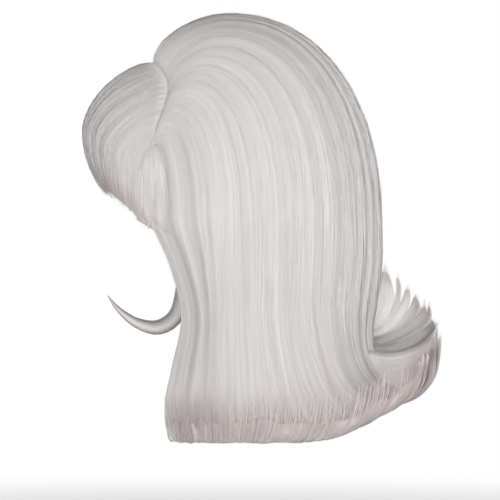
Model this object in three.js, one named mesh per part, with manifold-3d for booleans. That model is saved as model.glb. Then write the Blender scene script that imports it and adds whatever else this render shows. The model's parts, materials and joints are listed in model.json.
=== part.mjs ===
// Beehive wig: high rounded crown, puffed fringe and flipped ends on a stretch cap; mm, +Z up
// The wearer faces -Y and the wearer's left is +X. The origin is the inside of the cap's top.
import * as THREE from "three";
import Module from "manifold-3d";

const wasm = await Module();
wasm.setup();

const { clamp, lerp, smoothstep } = THREE.MathUtils;

// The head that the cap fits, measured on the inside of the cap
const HEAD_HALF_WIDTH = 76;
const HEAD_HALF_LENGTH = 94;
const HEAD_TOP_HEIGHT = 95;

// The cap: its wall, and how far below the origin its edge runs
const CAP_WALL = 2;
const CAP_FRONT_DROP = 56;
const CAP_EAR_DROP = 98;
const CAP_NAPE_DROP = 160;
const GAP = 0.3;
const PARTING_GAP = 0.4;
const HEAD_OVERLAP = 6;

// The parting: a valley that runs over the head from temple to temple
const PARTING_SETBACK = 50;
const PARTING_BOW = 16;
const PARTING_TOP_DEPTH = 40;
const PARTING_END_DEPTH = 12;
const PARTING_END_DROP = 75;

// The crown: how far its hair stands out from the head
const CROWN_TOP_DEPTH = 71;
const CROWN_SIDE_DEPTH = 39;
const CROWN_BACK_DEPTH = 73;
const CROWN_CREST_SHARE = 0.32;
const CROWN_WIDEST_SETBACK = 25;
const CHEEK_DEPTH = 20;
const CHEEK_SETBACK = 48;
const CROWN_DROP = 129;

// The fringe: how far it stands out, and how far below the origin its lower edge runs
const FRINGE_DEPTH = 19;
const FRINGE_FULLEST_DROP = 39;
const TEMPLE_FULLEST_DROP = 105;
const FRINGE_FRONT_DROP = 101;
const FRINGE_TEMPLE_DROP = 137;
const FRINGE_TUCK = 22;
const TEMPLE_TUCK = 3;
const TEMPLE_CLEARANCE = 2;
const FRINGE_WALL = 11;
const FRINGE_EDGE_WALL = 3;

// The fall below the crown, and the flip at its end
const SIDE_FALL = 188;
const BACK_FALL = 155;
const SIDE_FLIP_REACH = 52;
const BACK_FLIP_REACH = 53;
const FALL_WALL = 17;
const JAW_SETBACK = 27;

// Locks: how many lie round the wig, their relief, and the size of the ones that stand in the flip
const LOCKS_ROUND = 20;
const SIDE_LOCKS = 6;
const FRINGE_LOCKS = 10;
const LOCK_RELIEF = 2.4;
const FRINGE_RELIEF = 1.8;
const LOCK_HALF_WIDTH = 24;
const LOCK_HALF_DEPTH = 10;

// The lock that flicks forward from the hair on the wearer's right
const FLICK_REACH = 70;
const FLICK_DROP = 80;
const FLICK_TOP_DROP = 150;
const FLICK_HALF_HEIGHT = 8;
const FLICK_HALF_DEPTH = 6;

// Counts of facets
const COLUMNS = 3 * LOCKS_ROUND;
const FRINGE_ROWS = 7;
const CAP_COLUMNS = 28;
const CAP_ROWS = 7;
const LOCK_SIDES = 6;
const LOCK_STEPS = 6;

// Stations along a strand: 0 at the parting, 1 at the crown's lower edge, 2 at the flip's start, 3 at its tip
const CROWN_END = 1;
const FLIP_START = 2;
const LOWEST = 2.6;
const TIP = 3;

// Sections of the fall, as shares of the fall and the flip's reach beside the face and behind
const FALL_SECTIONS = [
  { at: 1.0, sideOut: 0.0, sideDrop: 0.0, backOut: 0.0, backDrop: 0.0, wall: 1.5, setback: 0.0 },
  { at: 1.33, sideOut: -0.04, sideDrop: 0.22, backOut: 0.0, backDrop: 0.23, wall: 1.3, setback: 0.63 },
  { at: 1.66, sideOut: -0.13, sideDrop: 0.46, backOut: -0.08, backDrop: 0.46, wall: 1.1, setback: 1.0 },
  { at: 2.0, sideOut: -0.15, sideDrop: 0.71, backOut: -0.17, backDrop: 0.67, wall: 1.0, setback: 0.67 },
  { at: 2.2, sideOut: -0.08, sideDrop: 0.86, backOut: -0.08, backDrop: 0.83, wall: 0.95, setback: 0.45 },
  { at: 2.4, sideOut: 0.15, sideDrop: 0.97, backOut: 0.17, backDrop: 0.96, wall: 0.8, setback: 0.5 },
  { at: 2.6, sideOut: 0.5, sideDrop: 1.0, backOut: 0.54, backDrop: 1.0, wall: 0.6, setback: 0.75 },
  { at: 2.8, sideOut: 0.83, sideDrop: 0.95, backOut: 0.88, backDrop: 0.9, wall: 0.3, setback: 0.7 },
  { at: 3.0, sideOut: 1.0, sideDrop: 0.86, backOut: 1.0, backDrop: 0.7, wall: 0.15, setback: 0.6 },
];

// Locks along the flip's edge, in turn round the wig, as shares of the flip's reach and rise
const EDGE_LOCKS = [
  { reach: 1.0, sideRise: 1.15, backRise: 1.2 },
  { reach: 0.84, sideRise: 1.5, backRise: 1.5 },
  { reach: 1.04, sideRise: 0.9, backRise: 1.0 },
  { reach: 0.9, sideRise: 1.35, backRise: 1.6 },
  { reach: 0.97, sideRise: 1.0, backRise: 1.15 },
];
const NOTCH_RISE = 0.6;

// Locks that stand inside the flip, each at its place round the wig
const INNER_LOCKS = [
  { at: 0.1, reach: 0.55, sideRise: 1.3, backRise: 1.3, width: 0.8, lean: 0.3 },
  { at: 0.25, reach: 0.5, sideRise: 1.6, backRise: 1.6, width: 0.8, lean: -0.3 },
  { at: 0.36, reach: 0.45, sideRise: 1.6, backRise: 2.0, width: 0.8, lean: 0.4 },
  { at: 0.43, reach: 0.2, sideRise: 1.6, backRise: 2.35, width: 0.9, lean: -0.3 },
  { at: 0.5, reach: 0.6, sideRise: 1.6, backRise: 1.9, width: 1.0, lean: 0.2 },
  { at: 0.57, reach: 0.25, sideRise: 1.6, backRise: 2.25, width: 0.9, lean: 0.4 },
  { at: 0.64, reach: 0.5, sideRise: 1.6, backRise: 1.9, width: 0.8, lean: -0.3 },
  { at: 0.76, reach: 0.5, sideRise: 1.5, backRise: 1.6, width: 0.8, lean: 0.2 },
  { at: 0.9, reach: 0.55, sideRise: 1.3, backRise: 1.3, width: 0.8, lean: -0.3 },
];

// Places along the forward flick, as shares of its reach and drop
const FLICK_SECTIONS = [
  { ahead: -0.05, down: 0.0, inset: 0.0, full: 0.6 },
  { ahead: -0.06, down: 0.45, inset: 0.1, full: 0.9 },
  { ahead: 0.03, down: 0.82, inset: 0.2, full: 1.0 },
  { ahead: 0.28, down: 0.98, inset: 0.35, full: 1.0 },
  { ahead: 0.58, down: 0.93, inset: 0.55, full: 0.85 },
  { ahead: 0.83, down: 0.77, inset: 0.8, full: 0.55 },
  { ahead: 1.0, down: 0.58, inset: 1.0, full: 0.0 },
];

// Value of one column of a table at a station, on a smooth curve through its rows
function along(table, station, column) {
  const last = table.length - 1;
  const row = (n) => table[clamp(n, 0, last)];
  let k = 0;
  while (k < last - 1 && station > table[k + 1].at) k += 1;
  const slope = (n) => (row(n + 1)[column] - row(n - 1)[column]) / (row(n + 1).at - row(n - 1).at);
  const span = row(k + 1).at - row(k).at;
  const t = (station - row(k).at) / span;
  const a = row(k)[column];
  const b = row(k + 1)[column];
  const rise = 2 * t ** 3 - 3 * t ** 2;
  const bend = (t ** 3 - 2 * t ** 2 + t) * slope(k) + (t ** 3 - t ** 2) * slope(k + 1);
  return a * (1 + rise) - b * rise + span * bend;
}

// Point on the head, or on a surface grown out from it, in the direction of a point
const headCentre = new THREE.Vector3(0, 0, -HEAD_TOP_HEIGHT);

function onHead(point, grown) {
  const ray = point.clone().sub(headCentre);
  const share = Math.hypot(
    ray.x / (HEAD_HALF_WIDTH + grown),
    ray.y / (HEAD_HALF_LENGTH + grown),
    ray.z / (HEAD_TOP_HEIGHT + grown),
  );
  return headCentre.clone().addScaledVector(ray, 1 / share);
}

// Height of the bare head above a place given by its x and y
function headHeight(x, y) {
  const inside = 1 - (x / HEAD_HALF_WIDTH) ** 2 - (y / HEAD_HALF_LENGTH) ** 2;
  return HEAD_TOP_HEIGHT * (Math.sqrt(Math.max(inside, 0)) - 1);
}

// Rim of the crown at its lower edge, from the left cheek (0) round the back to the right cheek (1)
const crownHalfWidth = HEAD_HALF_WIDTH + CROWN_SIDE_DEPTH;
const crownBack = HEAD_HALF_LENGTH + CROWN_BACK_DEPTH;
const cheekHalfWidth = HEAD_HALF_WIDTH + CHEEK_DEPTH;
const cheekTurn = Math.acos(clamp(cheekHalfWidth / crownHalfWidth, 0.2, 0.98));
const crownFrontSpan = (CROWN_WIDEST_SETBACK + CHEEK_SETBACK) / Math.sin(cheekTurn);

function rim(u) {
  const side = u > 0.5 ? -1 : 1;
  const half = u > 0.5 ? 1 - u : u;
  const turn = lerp(-cheekTurn, Math.PI / 2, half / 0.5);
  const span = turn > 0 ? crownBack - CROWN_WIDEST_SETBACK : crownFrontSpan;
  return new THREE.Vector3(
    side * crownHalfWidth * Math.cos(turn),
    CROWN_WIDEST_SETBACK + span * Math.sin(turn),
    -CROWN_DROP,
  );
}

// Level direction straight out of the rim, turned sideways where the rim would send it over the face
function outward(u) {
  const step = 0.002;
  const run = rim(Math.min(u + step, 1)).sub(rim(Math.max(u - step, 0)));
  return new THREE.Vector3(run.y, Math.max(-run.x, 0), 0).normalize();
}

// Share of the back's form at a place round the rim: 0 beside the face, 1 behind
function backness(u) {
  const half = u > 0.5 ? 1 - u : u;
  return smoothstep(half, 0.24, 0.44);
}

// Point of the parting's ridge, from the left temple (0) over the head to the right temple (1)
const partingTop = headHeight(0, PARTING_SETBACK) + PARTING_TOP_DEPTH;
const partingHalfWidth = HEAD_HALF_WIDTH + PARTING_END_DEPTH;

function parting(u) {
  const turn = Math.PI * u;
  const bow = PARTING_BOW * Math.sin(2 * turn) ** 2;
  return new THREE.Vector3(
    partingHalfWidth * Math.cos(turn),
    -PARTING_SETBACK + bow,
    lerp(-PARTING_END_DROP, partingTop, Math.sin(turn)),
  );
}

// Quarter of a rounded outline: how far across (0 to 1) and up (0 to 1) at a share of its turn
function quarter(share, fullness) {
  const turn = (Math.PI / 2) * share;
  return [1 - Math.cos(turn) ** (2 / fullness), Math.sin(turn) ** (2 / fullness)];
}

// Outer surface of the crown: up from the parting to the crest, then down to the rim
const FRONT_FULLNESS = 1.7;
const BACK_FULLNESS = 2.2;
const RISE_SHARE = 0.3;

function crownPoint(u, v) {
  const root = parting(u);
  const end = rim(u);
  const lift = (CROWN_TOP_DEPTH - partingTop) * Math.sin(Math.PI * u) ** 0.75;
  const crest = root.z + lift;
  let across;
  let level;
  if (v < RISE_SHARE) {
    const [run, up] = quarter(v / RISE_SHARE, FRONT_FULLNESS);
    across = CROWN_CREST_SHARE * run;
    level = root.z + lift * up;
  } else {
    const [run, up] = quarter((1 - v) / (1 - RISE_SHARE), BACK_FULLNESS);
    across = 1 - (1 - CROWN_CREST_SHARE) * run;
    level = lerp(end.z, crest, up);
  }
  return new THREE.Vector3(lerp(root.x, end.x, across), lerp(root.y, end.y, across), level);
}

// Form of the flip's edge at a place round the rim: a lock's own at its middle, a notch between two
function edgeLock(u) {
  const place = clamp(u, 0, 1) * LOCKS_ROUND;
  const own = EDGE_LOCKS[Math.min(Math.floor(place), LOCKS_ROUND - 1) % EDGE_LOCKS.length];
  const ridge = Math.abs(Math.sin(Math.PI * place)) ** 0.6;
  return {
    reach: lerp(1, own.reach, ridge),
    sideRise: lerp(NOTCH_RISE, own.sideRise, ridge),
    backRise: lerp(NOTCH_RISE, own.backRise, ridge),
  };
}

// Outer surface of the fall and the flip, and a share of the way through its wall
function fallPoint(u, v, wallShare = 0, lock = edgeLock(u)) {
  const back = backness(u);
  const column = (name) => along(FALL_SECTIONS, v, name);
  const place = (station) => {
    const value = (name) => along(FALL_SECTIONS, station, name);
    const past = Math.max(station - FLIP_START, 0);
    const reach = lerp(1, lock.reach, smoothstep(past, 0.3, 1));
    const lifted = (share, rise) => (station > LOWEST ? 1 - (1 - share) * rise : share);
    const sideDrop = lifted(value("sideDrop"), lock.sideRise) * SIDE_FALL;
    const backDrop = lifted(value("backDrop"), lock.backRise) * BACK_FALL;
    return [
      lerp(value("sideOut") * SIDE_FLIP_REACH, value("backOut") * BACK_FLIP_REACH, back) * reach,
      -lerp(sideDrop, backDrop, back),
    ];
  };
  const [out, down] = place(v);
  const [nextOut, nextDown] = place(v + 0.01);
  const run = new THREE.Vector2(nextOut - out, nextDown - down).normalize();
  const thick = column("wall") * FALL_WALL * wallShare;
  const half = u > 0.5 ? 1 - u : u;
  const setback = column("setback") * JAW_SETBACK * (1 - smoothstep(half, 0, 0.14));
  const point = rim(u).addScaledVector(outward(u), out + thick * run.y);
  point.y += setback;
  point.z += down - thick * run.x;
  return point;
}

function outerPoint(u, v) {
  return v < CROWN_END ? crownPoint(u, v) : fallPoint(u, v);
}

// Height of the locks' relief, nothing along the parting and in the flip's tips
function relief(u, v) {
  const ridge = Math.abs(Math.sin(Math.PI * LOCKS_ROUND * u)) ** 0.7;
  const crest = 0.6 + 0.4 * Math.cos(Math.PI * LOCKS_ROUND * 0.4 * u);
  return LOCK_RELIEF * crest * (ridge - 0.5) * smoothstep(v, 0, 0.6) * (1 - smoothstep(v, 2.5, 2.95));
}

function outerRelief(u, v) {
  const step = 0.004;
  const near = clamp(u, step, 1 - step);
  const acrossRun = outerPoint(near + step, v).sub(outerPoint(near - step, v));
  const alongRun = outerPoint(near, Math.min(v + step, TIP)).sub(outerPoint(near, Math.max(v - step, 0)));
  const normal = acrossRun.cross(alongRun).normalize();
  return outerPoint(u, v).addScaledVector(normal, -relief(u, v));
}

// Inner surface: inside the head above, then the fall's own wall
function innerPoint(u, v) {
  const outer = outerPoint(u, v);
  const head = onHead(outer, -HEAD_OVERLAP);
  if (v < CROWN_END) return head;
  const back = backness(u);
  const free = smoothstep(v, lerp(1.0, 1.1, back), lerp(1.4, 1.7, back));
  return head.lerp(fallPoint(u, v, 1), free);
}

// Closed mesh from two grids of points that share their edges: grid[row][column]
function closedBetween(outer, inner) {
  const rows = outer.length;
  const columns = outer[0].length;
  const vertices = [...outer.flat(), ...inner.flat()].flatMap((p) => [p.x, p.y, p.z]);
  const out = (r, c) => r * columns + c;
  const inn = (r, c) => rows * columns + r * columns + c;
  const faces = [];
  const quad = (a, b, c, d) => faces.push(a, b, c, a, c, d);
  for (let r = 0; r < rows - 1; r += 1) {
    for (let c = 0; c < columns - 1; c += 1) {
      quad(out(r, c), out(r + 1, c), out(r + 1, c + 1), out(r, c + 1));
      quad(inn(r, c), inn(r, c + 1), inn(r + 1, c + 1), inn(r + 1, c));
    }
  }
  for (let c = 0; c < columns - 1; c += 1) {
    quad(out(0, c), out(0, c + 1), inn(0, c + 1), inn(0, c));
    quad(out(rows - 1, c), inn(rows - 1, c), inn(rows - 1, c + 1), out(rows - 1, c + 1));
  }
  for (let r = 0; r < rows - 1; r += 1) {
    quad(out(r, 0), inn(r, 0), inn(r + 1, 0), out(r + 1, 0));
    quad(out(r, columns - 1), out(r + 1, columns - 1), inn(r + 1, columns - 1), inn(r, columns - 1));
  }
  return toSolid(vertices, faces);
}

function toSolid(vertices, faces) {
  return new wasm.Manifold(
    new wasm.Mesh({
      numProp: 3,
      vertProperties: new Float32Array(vertices),
      triVerts: new Uint32Array(faces),
    }),
  );
}

const steps = (from, to, count) => Array.from({ length: count + 1 }, (_, k) => lerp(from, to, k / count));

// Moves the edge rows and columns of a grid inwards by half a gap, so that neighbours stay apart
// A grid that starts at the parting moves its first row back or forward instead
function trimmed(grid, partingShift = 0) {
  const last = grid.length - 1;
  const end = grid[0].length - 1;
  const nudge = (a, b) => a.clone().addScaledVector(b.clone().sub(a).normalize(), GAP / 2);
  const rows = grid.map((row, r) => {
    if (r === 0 && partingShift) return row.map((p) => p.clone().add(new THREE.Vector3(0, partingShift, 0)));
    if (r === 0) return row.map((p, c) => nudge(p, grid[1][c]));
    if (r === last) return row.map((p, c) => nudge(p, grid[last - 1][c]));
    return row.map((p) => p.clone());
  });
  return rows.map((row) =>
    row.map((p, c) => {
      if (c === 0) return nudge(p, row[1]);
      if (c === end) return nudge(p, row[end - 1]);
      return p;
    }),
  );
}

// Block of hair between two places round the rim and two stations
function hairBlock(columns, stations) {
  const outer = stations.map((v) => columns.map((u) => outerRelief(u, v)));
  const inner = stations.map((v) => columns.map((u) => innerPoint(u, v)));
  const shift = stations[0] === 0 ? PARTING_GAP / 2 : 0;
  return closedBetween(trimmed(outer, shift), trimmed(inner, shift));
}

// Space for the head and cap, with the same facets as the cap
function capDrop(turn) {
  const front = smoothstep(-Math.cos(turn), 0, 1);
  const nape = smoothstep(Math.cos(turn), 0.1, 1);
  return CAP_EAR_DROP - (CAP_EAR_DROP - CAP_FRONT_DROP) * front + (CAP_NAPE_DROP - CAP_EAR_DROP) * nape;
}

// Point on the head grown by some amount: turn goes round from the back, share runs from the top to the edge
function capPoint(turn, share, grown) {
  const edgeAngle = Math.acos(clamp((HEAD_TOP_HEIGHT - capDrop(turn)) / HEAD_TOP_HEIGHT, -0.95, 0.95));
  const polar = share <= 1 ? edgeAngle * share : lerp(edgeAngle, Math.PI, share - 1);
  return new THREE.Vector3(
    (HEAD_HALF_WIDTH + grown) * Math.sin(polar) * Math.sin(turn),
    (HEAD_HALF_LENGTH + grown) * Math.sin(polar) * Math.cos(turn),
    (HEAD_TOP_HEIGHT + grown) * Math.cos(polar) - HEAD_TOP_HEIGHT,
  );
}

// Closed body of rings between two poles, the first pole and ring above or outside
function ringsBody(firstPole, rings, lastPole) {
  const count = rings[0].length;
  const vertices = [firstPole, ...rings.flat(), lastPole].flatMap((p) => [p.x, p.y, p.z]);
  const at = (r, k) => 1 + r * count + (k % count);
  const end = 1 + rings.length * count;
  const faces = [];
  for (let k = 0; k < count; k += 1) {
    faces.push(0, at(0, k + 1), at(0, k));
    faces.push(end, at(rings.length - 1, k), at(rings.length - 1, k + 1));
    for (let r = 0; r < rings.length - 1; r += 1) {
      faces.push(at(r, k), at(r, k + 1), at(r + 1, k + 1));
      faces.push(at(r, k), at(r + 1, k + 1), at(r + 1, k));
    }
  }
  return toSolid(vertices, faces);
}

const turns = steps(0, 2 * Math.PI, CAP_COLUMNS).slice(0, -1);
const capShares = steps(0, 1, CAP_ROWS).slice(1);

function capRing(share, grown) {
  return turns.map((turn) => capPoint(turn, share, grown));
}

function headRoom() {
  const grown = CAP_WALL + GAP;
  const shares = [...capShares, 1.25, 1.5, 1.75];
  return ringsBody(
    capPoint(0, 0, grown),
    shares.map((share) => capRing(share, grown)),
    capPoint(0, 2, grown),
  );
}

function wigCap() {
  const outside = capShares.map((share) => capRing(share, CAP_WALL));
  const inside = [...capShares].reverse().map((share) => capRing(share, 0));
  return ringsBody(capPoint(0, 0, CAP_WALL), [...outside, ...inside], capPoint(0, 0, 0));
}

// Outer surface of the fringe, from the parting (0) past its fullest level to its tucked edge (1)
const FRINGE_FULLNESS = 1.65;
const FULLEST_SHARE = 0.6;
const TUCK_BEND = 2.1;
const EDGE_RISE_BEND = 1.6;

function fringePoint(u, v) {
  const half = u > 0.5 ? 1 - u : u;
  const front = Math.sin(Math.PI * half);
  const root = parting(u);
  const reach = HEAD_HALF_LENGTH + FRINGE_DEPTH - CHEEK_SETBACK;
  const templeSetback = CHEEK_SETBACK + TEMPLE_CLEARANCE;
  const fullest = new THREE.Vector3(
    cheekHalfWidth * Math.cos(Math.PI * u),
    -templeSetback - reach * front,
    -lerp(TEMPLE_FULLEST_DROP, FRINGE_FULLEST_DROP, front ** 0.8),
  );
  const edgeLevel = -lerp(FRINGE_FRONT_DROP, FRINGE_TEMPLE_DROP, (1 - front) ** EDGE_RISE_BEND);
  if (v < FULLEST_SHARE) {
    const [run, up] = quarter(1 - v / FULLEST_SHARE, FRINGE_FULLNESS);
    const across = 1 - run;
    return new THREE.Vector3(
      lerp(root.x, fullest.x, across),
      lerp(root.y, fullest.y, across),
      lerp(fullest.z, root.z, up),
    );
  }
  const t = (v - FULLEST_SHARE) / (1 - FULLEST_SHARE);
  const tuck = lerp(TEMPLE_TUCK, FRINGE_TUCK, front) * t ** TUCK_BEND;
  const away = new THREE.Vector3(fullest.x / cheekHalfWidth, -front, 0).normalize();
  const point = fullest.clone().addScaledVector(away, -tuck);
  point.z = lerp(fullest.z, edgeLevel, t);
  return point;
}

function fringeInner(u, v) {
  const outer = fringePoint(u, v);
  const head = onHead(outer, -HEAD_OVERLAP);
  const wall = lerp(FRINGE_WALL, FRINGE_EDGE_WALL, smoothstep(v, 0.6, 1));
  const inward = new THREE.Vector3(0, 0, outer.z).sub(outer).normalize();
  const free = outer.clone().addScaledVector(inward, wall);
  return head.lerp(free, smoothstep(v, 0.45, 0.7));
}

function fringeRelief(u, v) {
  const ridge = Math.abs(Math.sin(Math.PI * FRINGE_LOCKS * u)) ** 0.7;
  return FRINGE_RELIEF * (ridge - 0.5) * smoothstep(v, 0, 0.5);
}

function fringeBody(columns) {
  const stations = steps(0, 1, FRINGE_ROWS);
  const outer = stations.map((v) =>
    columns.map((u) => {
      const point = fringePoint(u, v);
      const away = point.clone().sub(headCentre).normalize();
      return point.addScaledVector(away, fringeRelief(u, v));
    }),
  );
  const inner = stations.map((v) => columns.map((u) => fringeInner(u, v)));
  return closedBetween(
    trimmed(outer.map((row) => [...row].reverse()), -PARTING_GAP / 2),
    trimmed(inner.map((row) => [...row].reverse()), -PARTING_GAP / 2),
  );
}

// Tapered lock of hair with an oval section along a row of places
function lock(places) {
  const rings = places.slice(1, -1).map(({ point, across, out, wide, thick }) =>
    steps(0, 2 * Math.PI, LOCK_SIDES)
      .slice(0, -1)
      .map((turn) =>
        point
          .clone()
          .addScaledVector(across, wide * Math.cos(turn))
          .addScaledVector(out, thick * Math.sin(turn)),
      ),
  );
  return ringsBody(places[0].point, rings, places.at(-1).point);
}

// Lock that stands in the flip, rising past its edge to a tip of its own
function flipLock(u, shape) {
  const round = new THREE.Vector3(0, 0, 1).cross(outward(u));
  const pathPoint = (v) => {
    const sway = smoothstep(v, LOWEST - 0.3, TIP) * shape.lean * LOCK_HALF_WIDTH;
    return fallPoint(u, v, 0.5, shape).addScaledVector(round, sway);
  };
  const places = steps(0, 1, LOCK_STEPS).map((share) => {
    const v = lerp(FLIP_START + 0.1, TIP, Math.sin((Math.PI / 2) * share) ** 0.9);
    const point = pathPoint(v);
    const ahead = pathPoint(v + 0.01).sub(point).normalize();
    const across = round.clone().negate();
    const out = ahead.clone().cross(across).normalize();
    const full = Math.sin(Math.PI * lerp(0.35, 1, share)) ** 0.5;
    return {
      point,
      across,
      out,
      wide: LOCK_HALF_WIDTH * shape.width * full,
      thick: LOCK_HALF_DEPTH * full,
    };
  });
  return lock(places);
}

// Lock that leaves the hair on the wearer's right and flicks forward to a point
function frontFlick() {
  const start = fallPoint(1, 1.2, 0.5);
  const places = FLICK_SECTIONS.map(({ ahead, down, inset, full }) => ({
    point: new THREE.Vector3(
      start.x + inset * FLICK_HALF_DEPTH * 2,
      start.y - ahead * FLICK_REACH + JAW_SETBACK * 0.4,
      -FLICK_TOP_DROP - down * FLICK_DROP,
    ),
    full,
  }));
  places.forEach((place, k) => {
    const before = places[Math.max(k - 1, 0)].point;
    const after = places[Math.min(k + 1, places.length - 1)].point;
    const ahead = after.clone().sub(before).normalize();
    place.across = new THREE.Vector3(1, 0, 0);
    place.out = ahead.cross(place.across).normalize();
    place.wide = FLICK_HALF_DEPTH * place.full;
    place.thick = FLICK_HALF_HEIGHT * place.full;
  });
  return lock(places);
}

const room = headRoom();
const columnAt = (share) => Math.round(share * COLUMNS) / COLUMNS;
const columnsBetween = (from, to) =>
  steps(columnAt(from), columnAt(to), Math.round((columnAt(to) - columnAt(from)) * COLUMNS));

const CROWN_STATIONS = [0, 0.07, 0.17, 0.3, 0.44, 0.58, 0.72, 0.86, 1];
const FALL_STATIONS = [1, 1.25, 1.5, 1.75, 2];
const FLIP_STATIONS = [2, 2.2, 2.4, 2.6, 2.8, 3];
const SIDE_SHARE = SIDE_LOCKS / LOCKS_ROUND;

function fall(from, to) {
  return hairBlock(columnsBetween(from, to), FALL_STATIONS).subtract(room);
}

// Cuts a body where two parts of the flip meet; way is 1 to keep what lies further round, -1 to keep the rest
function cutAt(body, u, way) {
  const along = new THREE.Vector3(0, 0, 1).cross(outward(u)).multiplyScalar(way);
  return body.trimByPlane(along.toArray(), along.dot(rim(u)) + GAP / 2);
}

function flip(from, to) {
  let body = hairBlock(columnsBetween(from, to), FLIP_STATIONS);
  INNER_LOCKS.filter((shape) => shape.at > from && shape.at < to).forEach((shape) => {
    body = body.add(flipLock(shape.at, shape));
  });
  if (from > 0) body = cutAt(body, columnAt(from), 1);
  if (to < 1) body = cutAt(body, columnAt(to), -1);
  return body;
}

const material = (color, roughness) => new THREE.MeshStandardMaterial({ color, roughness, metalness: 0 });
const HAIR = material(0xe6e2e1, 0.55);
const HAIR_SHADE = material(0xd6cfce, 0.6);
const CAP_NET = material(0xd9d2c8, 0.85);

function named(name, solid, look) {
  const { vertProperties, triVerts } = solid.getMesh();
  const geometry = new THREE.BufferGeometry();
  geometry.setAttribute("position", new THREE.BufferAttribute(vertProperties.slice(), 3));
  geometry.setIndex(new THREE.BufferAttribute(triVerts.slice(), 1));
  geometry.computeVertexNormals();
  const mesh = new THREE.Mesh(geometry, look);
  mesh.name = name;
  return mesh;
}

const wig = new THREE.Group();
wig.name = "beehive_wig";
wig.add(named("wig_cap", wigCap(), CAP_NET));
wig.add(named("crown", hairBlock(columnsBetween(0, 1), CROWN_STATIONS).subtract(room), HAIR));
wig.add(named("fringe", fringeBody(columnsBetween(0, 1)).subtract(room), HAIR));
wig.add(named("left_side_hair", fall(0, SIDE_SHARE), HAIR));
wig.add(named("back_hair", fall(SIDE_SHARE, 1 - SIDE_SHARE), HAIR));
wig.add(named("right_side_hair", fall(1 - SIDE_SHARE, 1).add(frontFlick()), HAIR));
wig.add(named("left_flip", flip(0, SIDE_SHARE), HAIR_SHADE));
wig.add(named("back_flip", flip(SIDE_SHARE, 1 - SIDE_SHARE), HAIR_SHADE));
wig.add(named("right_flip", flip(1 - SIDE_SHARE, 1), HAIR_SHADE));

export default wig;
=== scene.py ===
"""Dresses a packed beehive wig: net cap, layered hair from parting to flipped ends, floor, light and camera.

Sizes are in metres. The wearer faces -Y, the wearer's left is +X, and the origin is inside the cap's top.
"""
import json
import logging
import math
from dataclasses import dataclass, field, replace
from enum import Enum
from typing import Callable, Sequence

import bmesh
import bpy
import numpy as np
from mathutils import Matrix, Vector

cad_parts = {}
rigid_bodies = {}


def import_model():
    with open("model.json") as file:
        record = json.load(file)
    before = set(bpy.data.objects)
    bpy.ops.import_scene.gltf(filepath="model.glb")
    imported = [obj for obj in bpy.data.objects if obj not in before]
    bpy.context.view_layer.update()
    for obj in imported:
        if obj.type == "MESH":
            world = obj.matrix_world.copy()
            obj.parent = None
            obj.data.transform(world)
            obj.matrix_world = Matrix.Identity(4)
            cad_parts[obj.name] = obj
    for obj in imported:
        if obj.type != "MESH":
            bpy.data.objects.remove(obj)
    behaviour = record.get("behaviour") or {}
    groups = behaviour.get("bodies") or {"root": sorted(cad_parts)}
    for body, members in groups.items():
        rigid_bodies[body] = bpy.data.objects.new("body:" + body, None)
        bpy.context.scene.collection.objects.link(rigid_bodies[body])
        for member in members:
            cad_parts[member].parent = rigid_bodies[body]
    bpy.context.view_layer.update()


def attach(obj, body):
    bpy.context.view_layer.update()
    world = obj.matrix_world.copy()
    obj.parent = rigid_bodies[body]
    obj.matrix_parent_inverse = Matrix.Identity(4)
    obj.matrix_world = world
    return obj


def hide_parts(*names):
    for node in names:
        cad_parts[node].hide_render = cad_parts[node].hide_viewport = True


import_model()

log = logging.getLogger("wig")
logging.basicConfig(level=logging.INFO, format="%(name)s: %(message)s")

MM = 0.001
WHITE = (1.0, 1.0, 1.0, 1.0)
Grid = np.ndarray
Span = tuple[float, float]

# Seed, number and range of pitches of the uneven waves
BROAD_WAVES = (21, 6, 10, 34)
FINE_WAVES = (22, 6, 50, 110)
TIP_WAVES = (34, 5, 15, 50)
FRINGE_BROAD_WAVES = (41, 5, 6, 20)
FRINGE_FINE_WAVES = (42, 5, 24, 56)
LOCK_SEEDS = (31, 32, 33)
LOCK_PITCHES = (4, 8, 26)


class Part(Enum):
    """The wig's sides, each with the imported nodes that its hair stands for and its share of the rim."""

    LEFT = ("left", 0.0, 0.3, ("crown", "left_side_hair", "left_flip"))
    BACK_LEFT = ("back_left", 0.3, 0.5, ("crown", "back_hair", "back_flip"))
    BACK_RIGHT = ("back_right", 0.5, 0.7, ("crown", "back_hair", "back_flip"))
    RIGHT = ("right", 0.7, 1.0, ("crown", "right_side_hair", "right_flip"))

    @property
    def title(self) -> str:
        """Word that the part's pieces are named with."""
        return self.value[0]

    @property
    def span(self) -> Span:
        """Where the part starts and ends round the rim."""
        return self.value[1], self.value[2]

    @property
    def nodes(self) -> tuple[str, ...]:
        """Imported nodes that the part's hair stands for."""
        return self.value[3]


def smoothstep(x: Grid, low: float, high: float) -> Grid:
    """Smooth ramp from 0 at low to 1 at high."""
    t = np.clip((np.asarray(x, float) - low) / (high - low), 0.0, 1.0)
    return t * t * (3.0 - 2.0 * t)


def hump(x: Grid, start: float, full: float, fading: float, end: float) -> Grid:
    """Smooth hump that rises from start to full and falls from fading to end."""
    return smoothstep(x, start, full) * (1 - smoothstep(x, fading, end))


def mix(a: Grid, b: Grid, share: Grid) -> Grid:
    """Value between a and b at a share of the way."""
    return a + (b - a) * share


def xyz(x: Grid, y: Grid, z: Grid) -> Grid:
    """Points with the three coordinates along their last axis."""
    return np.stack([x, y, z], axis=-1)


def unit(v: Grid) -> Grid:
    """Vectors of length one along the last axis."""
    return v / np.maximum(np.linalg.norm(v, axis=-1, keepdims=True), 1e-9)


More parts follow.
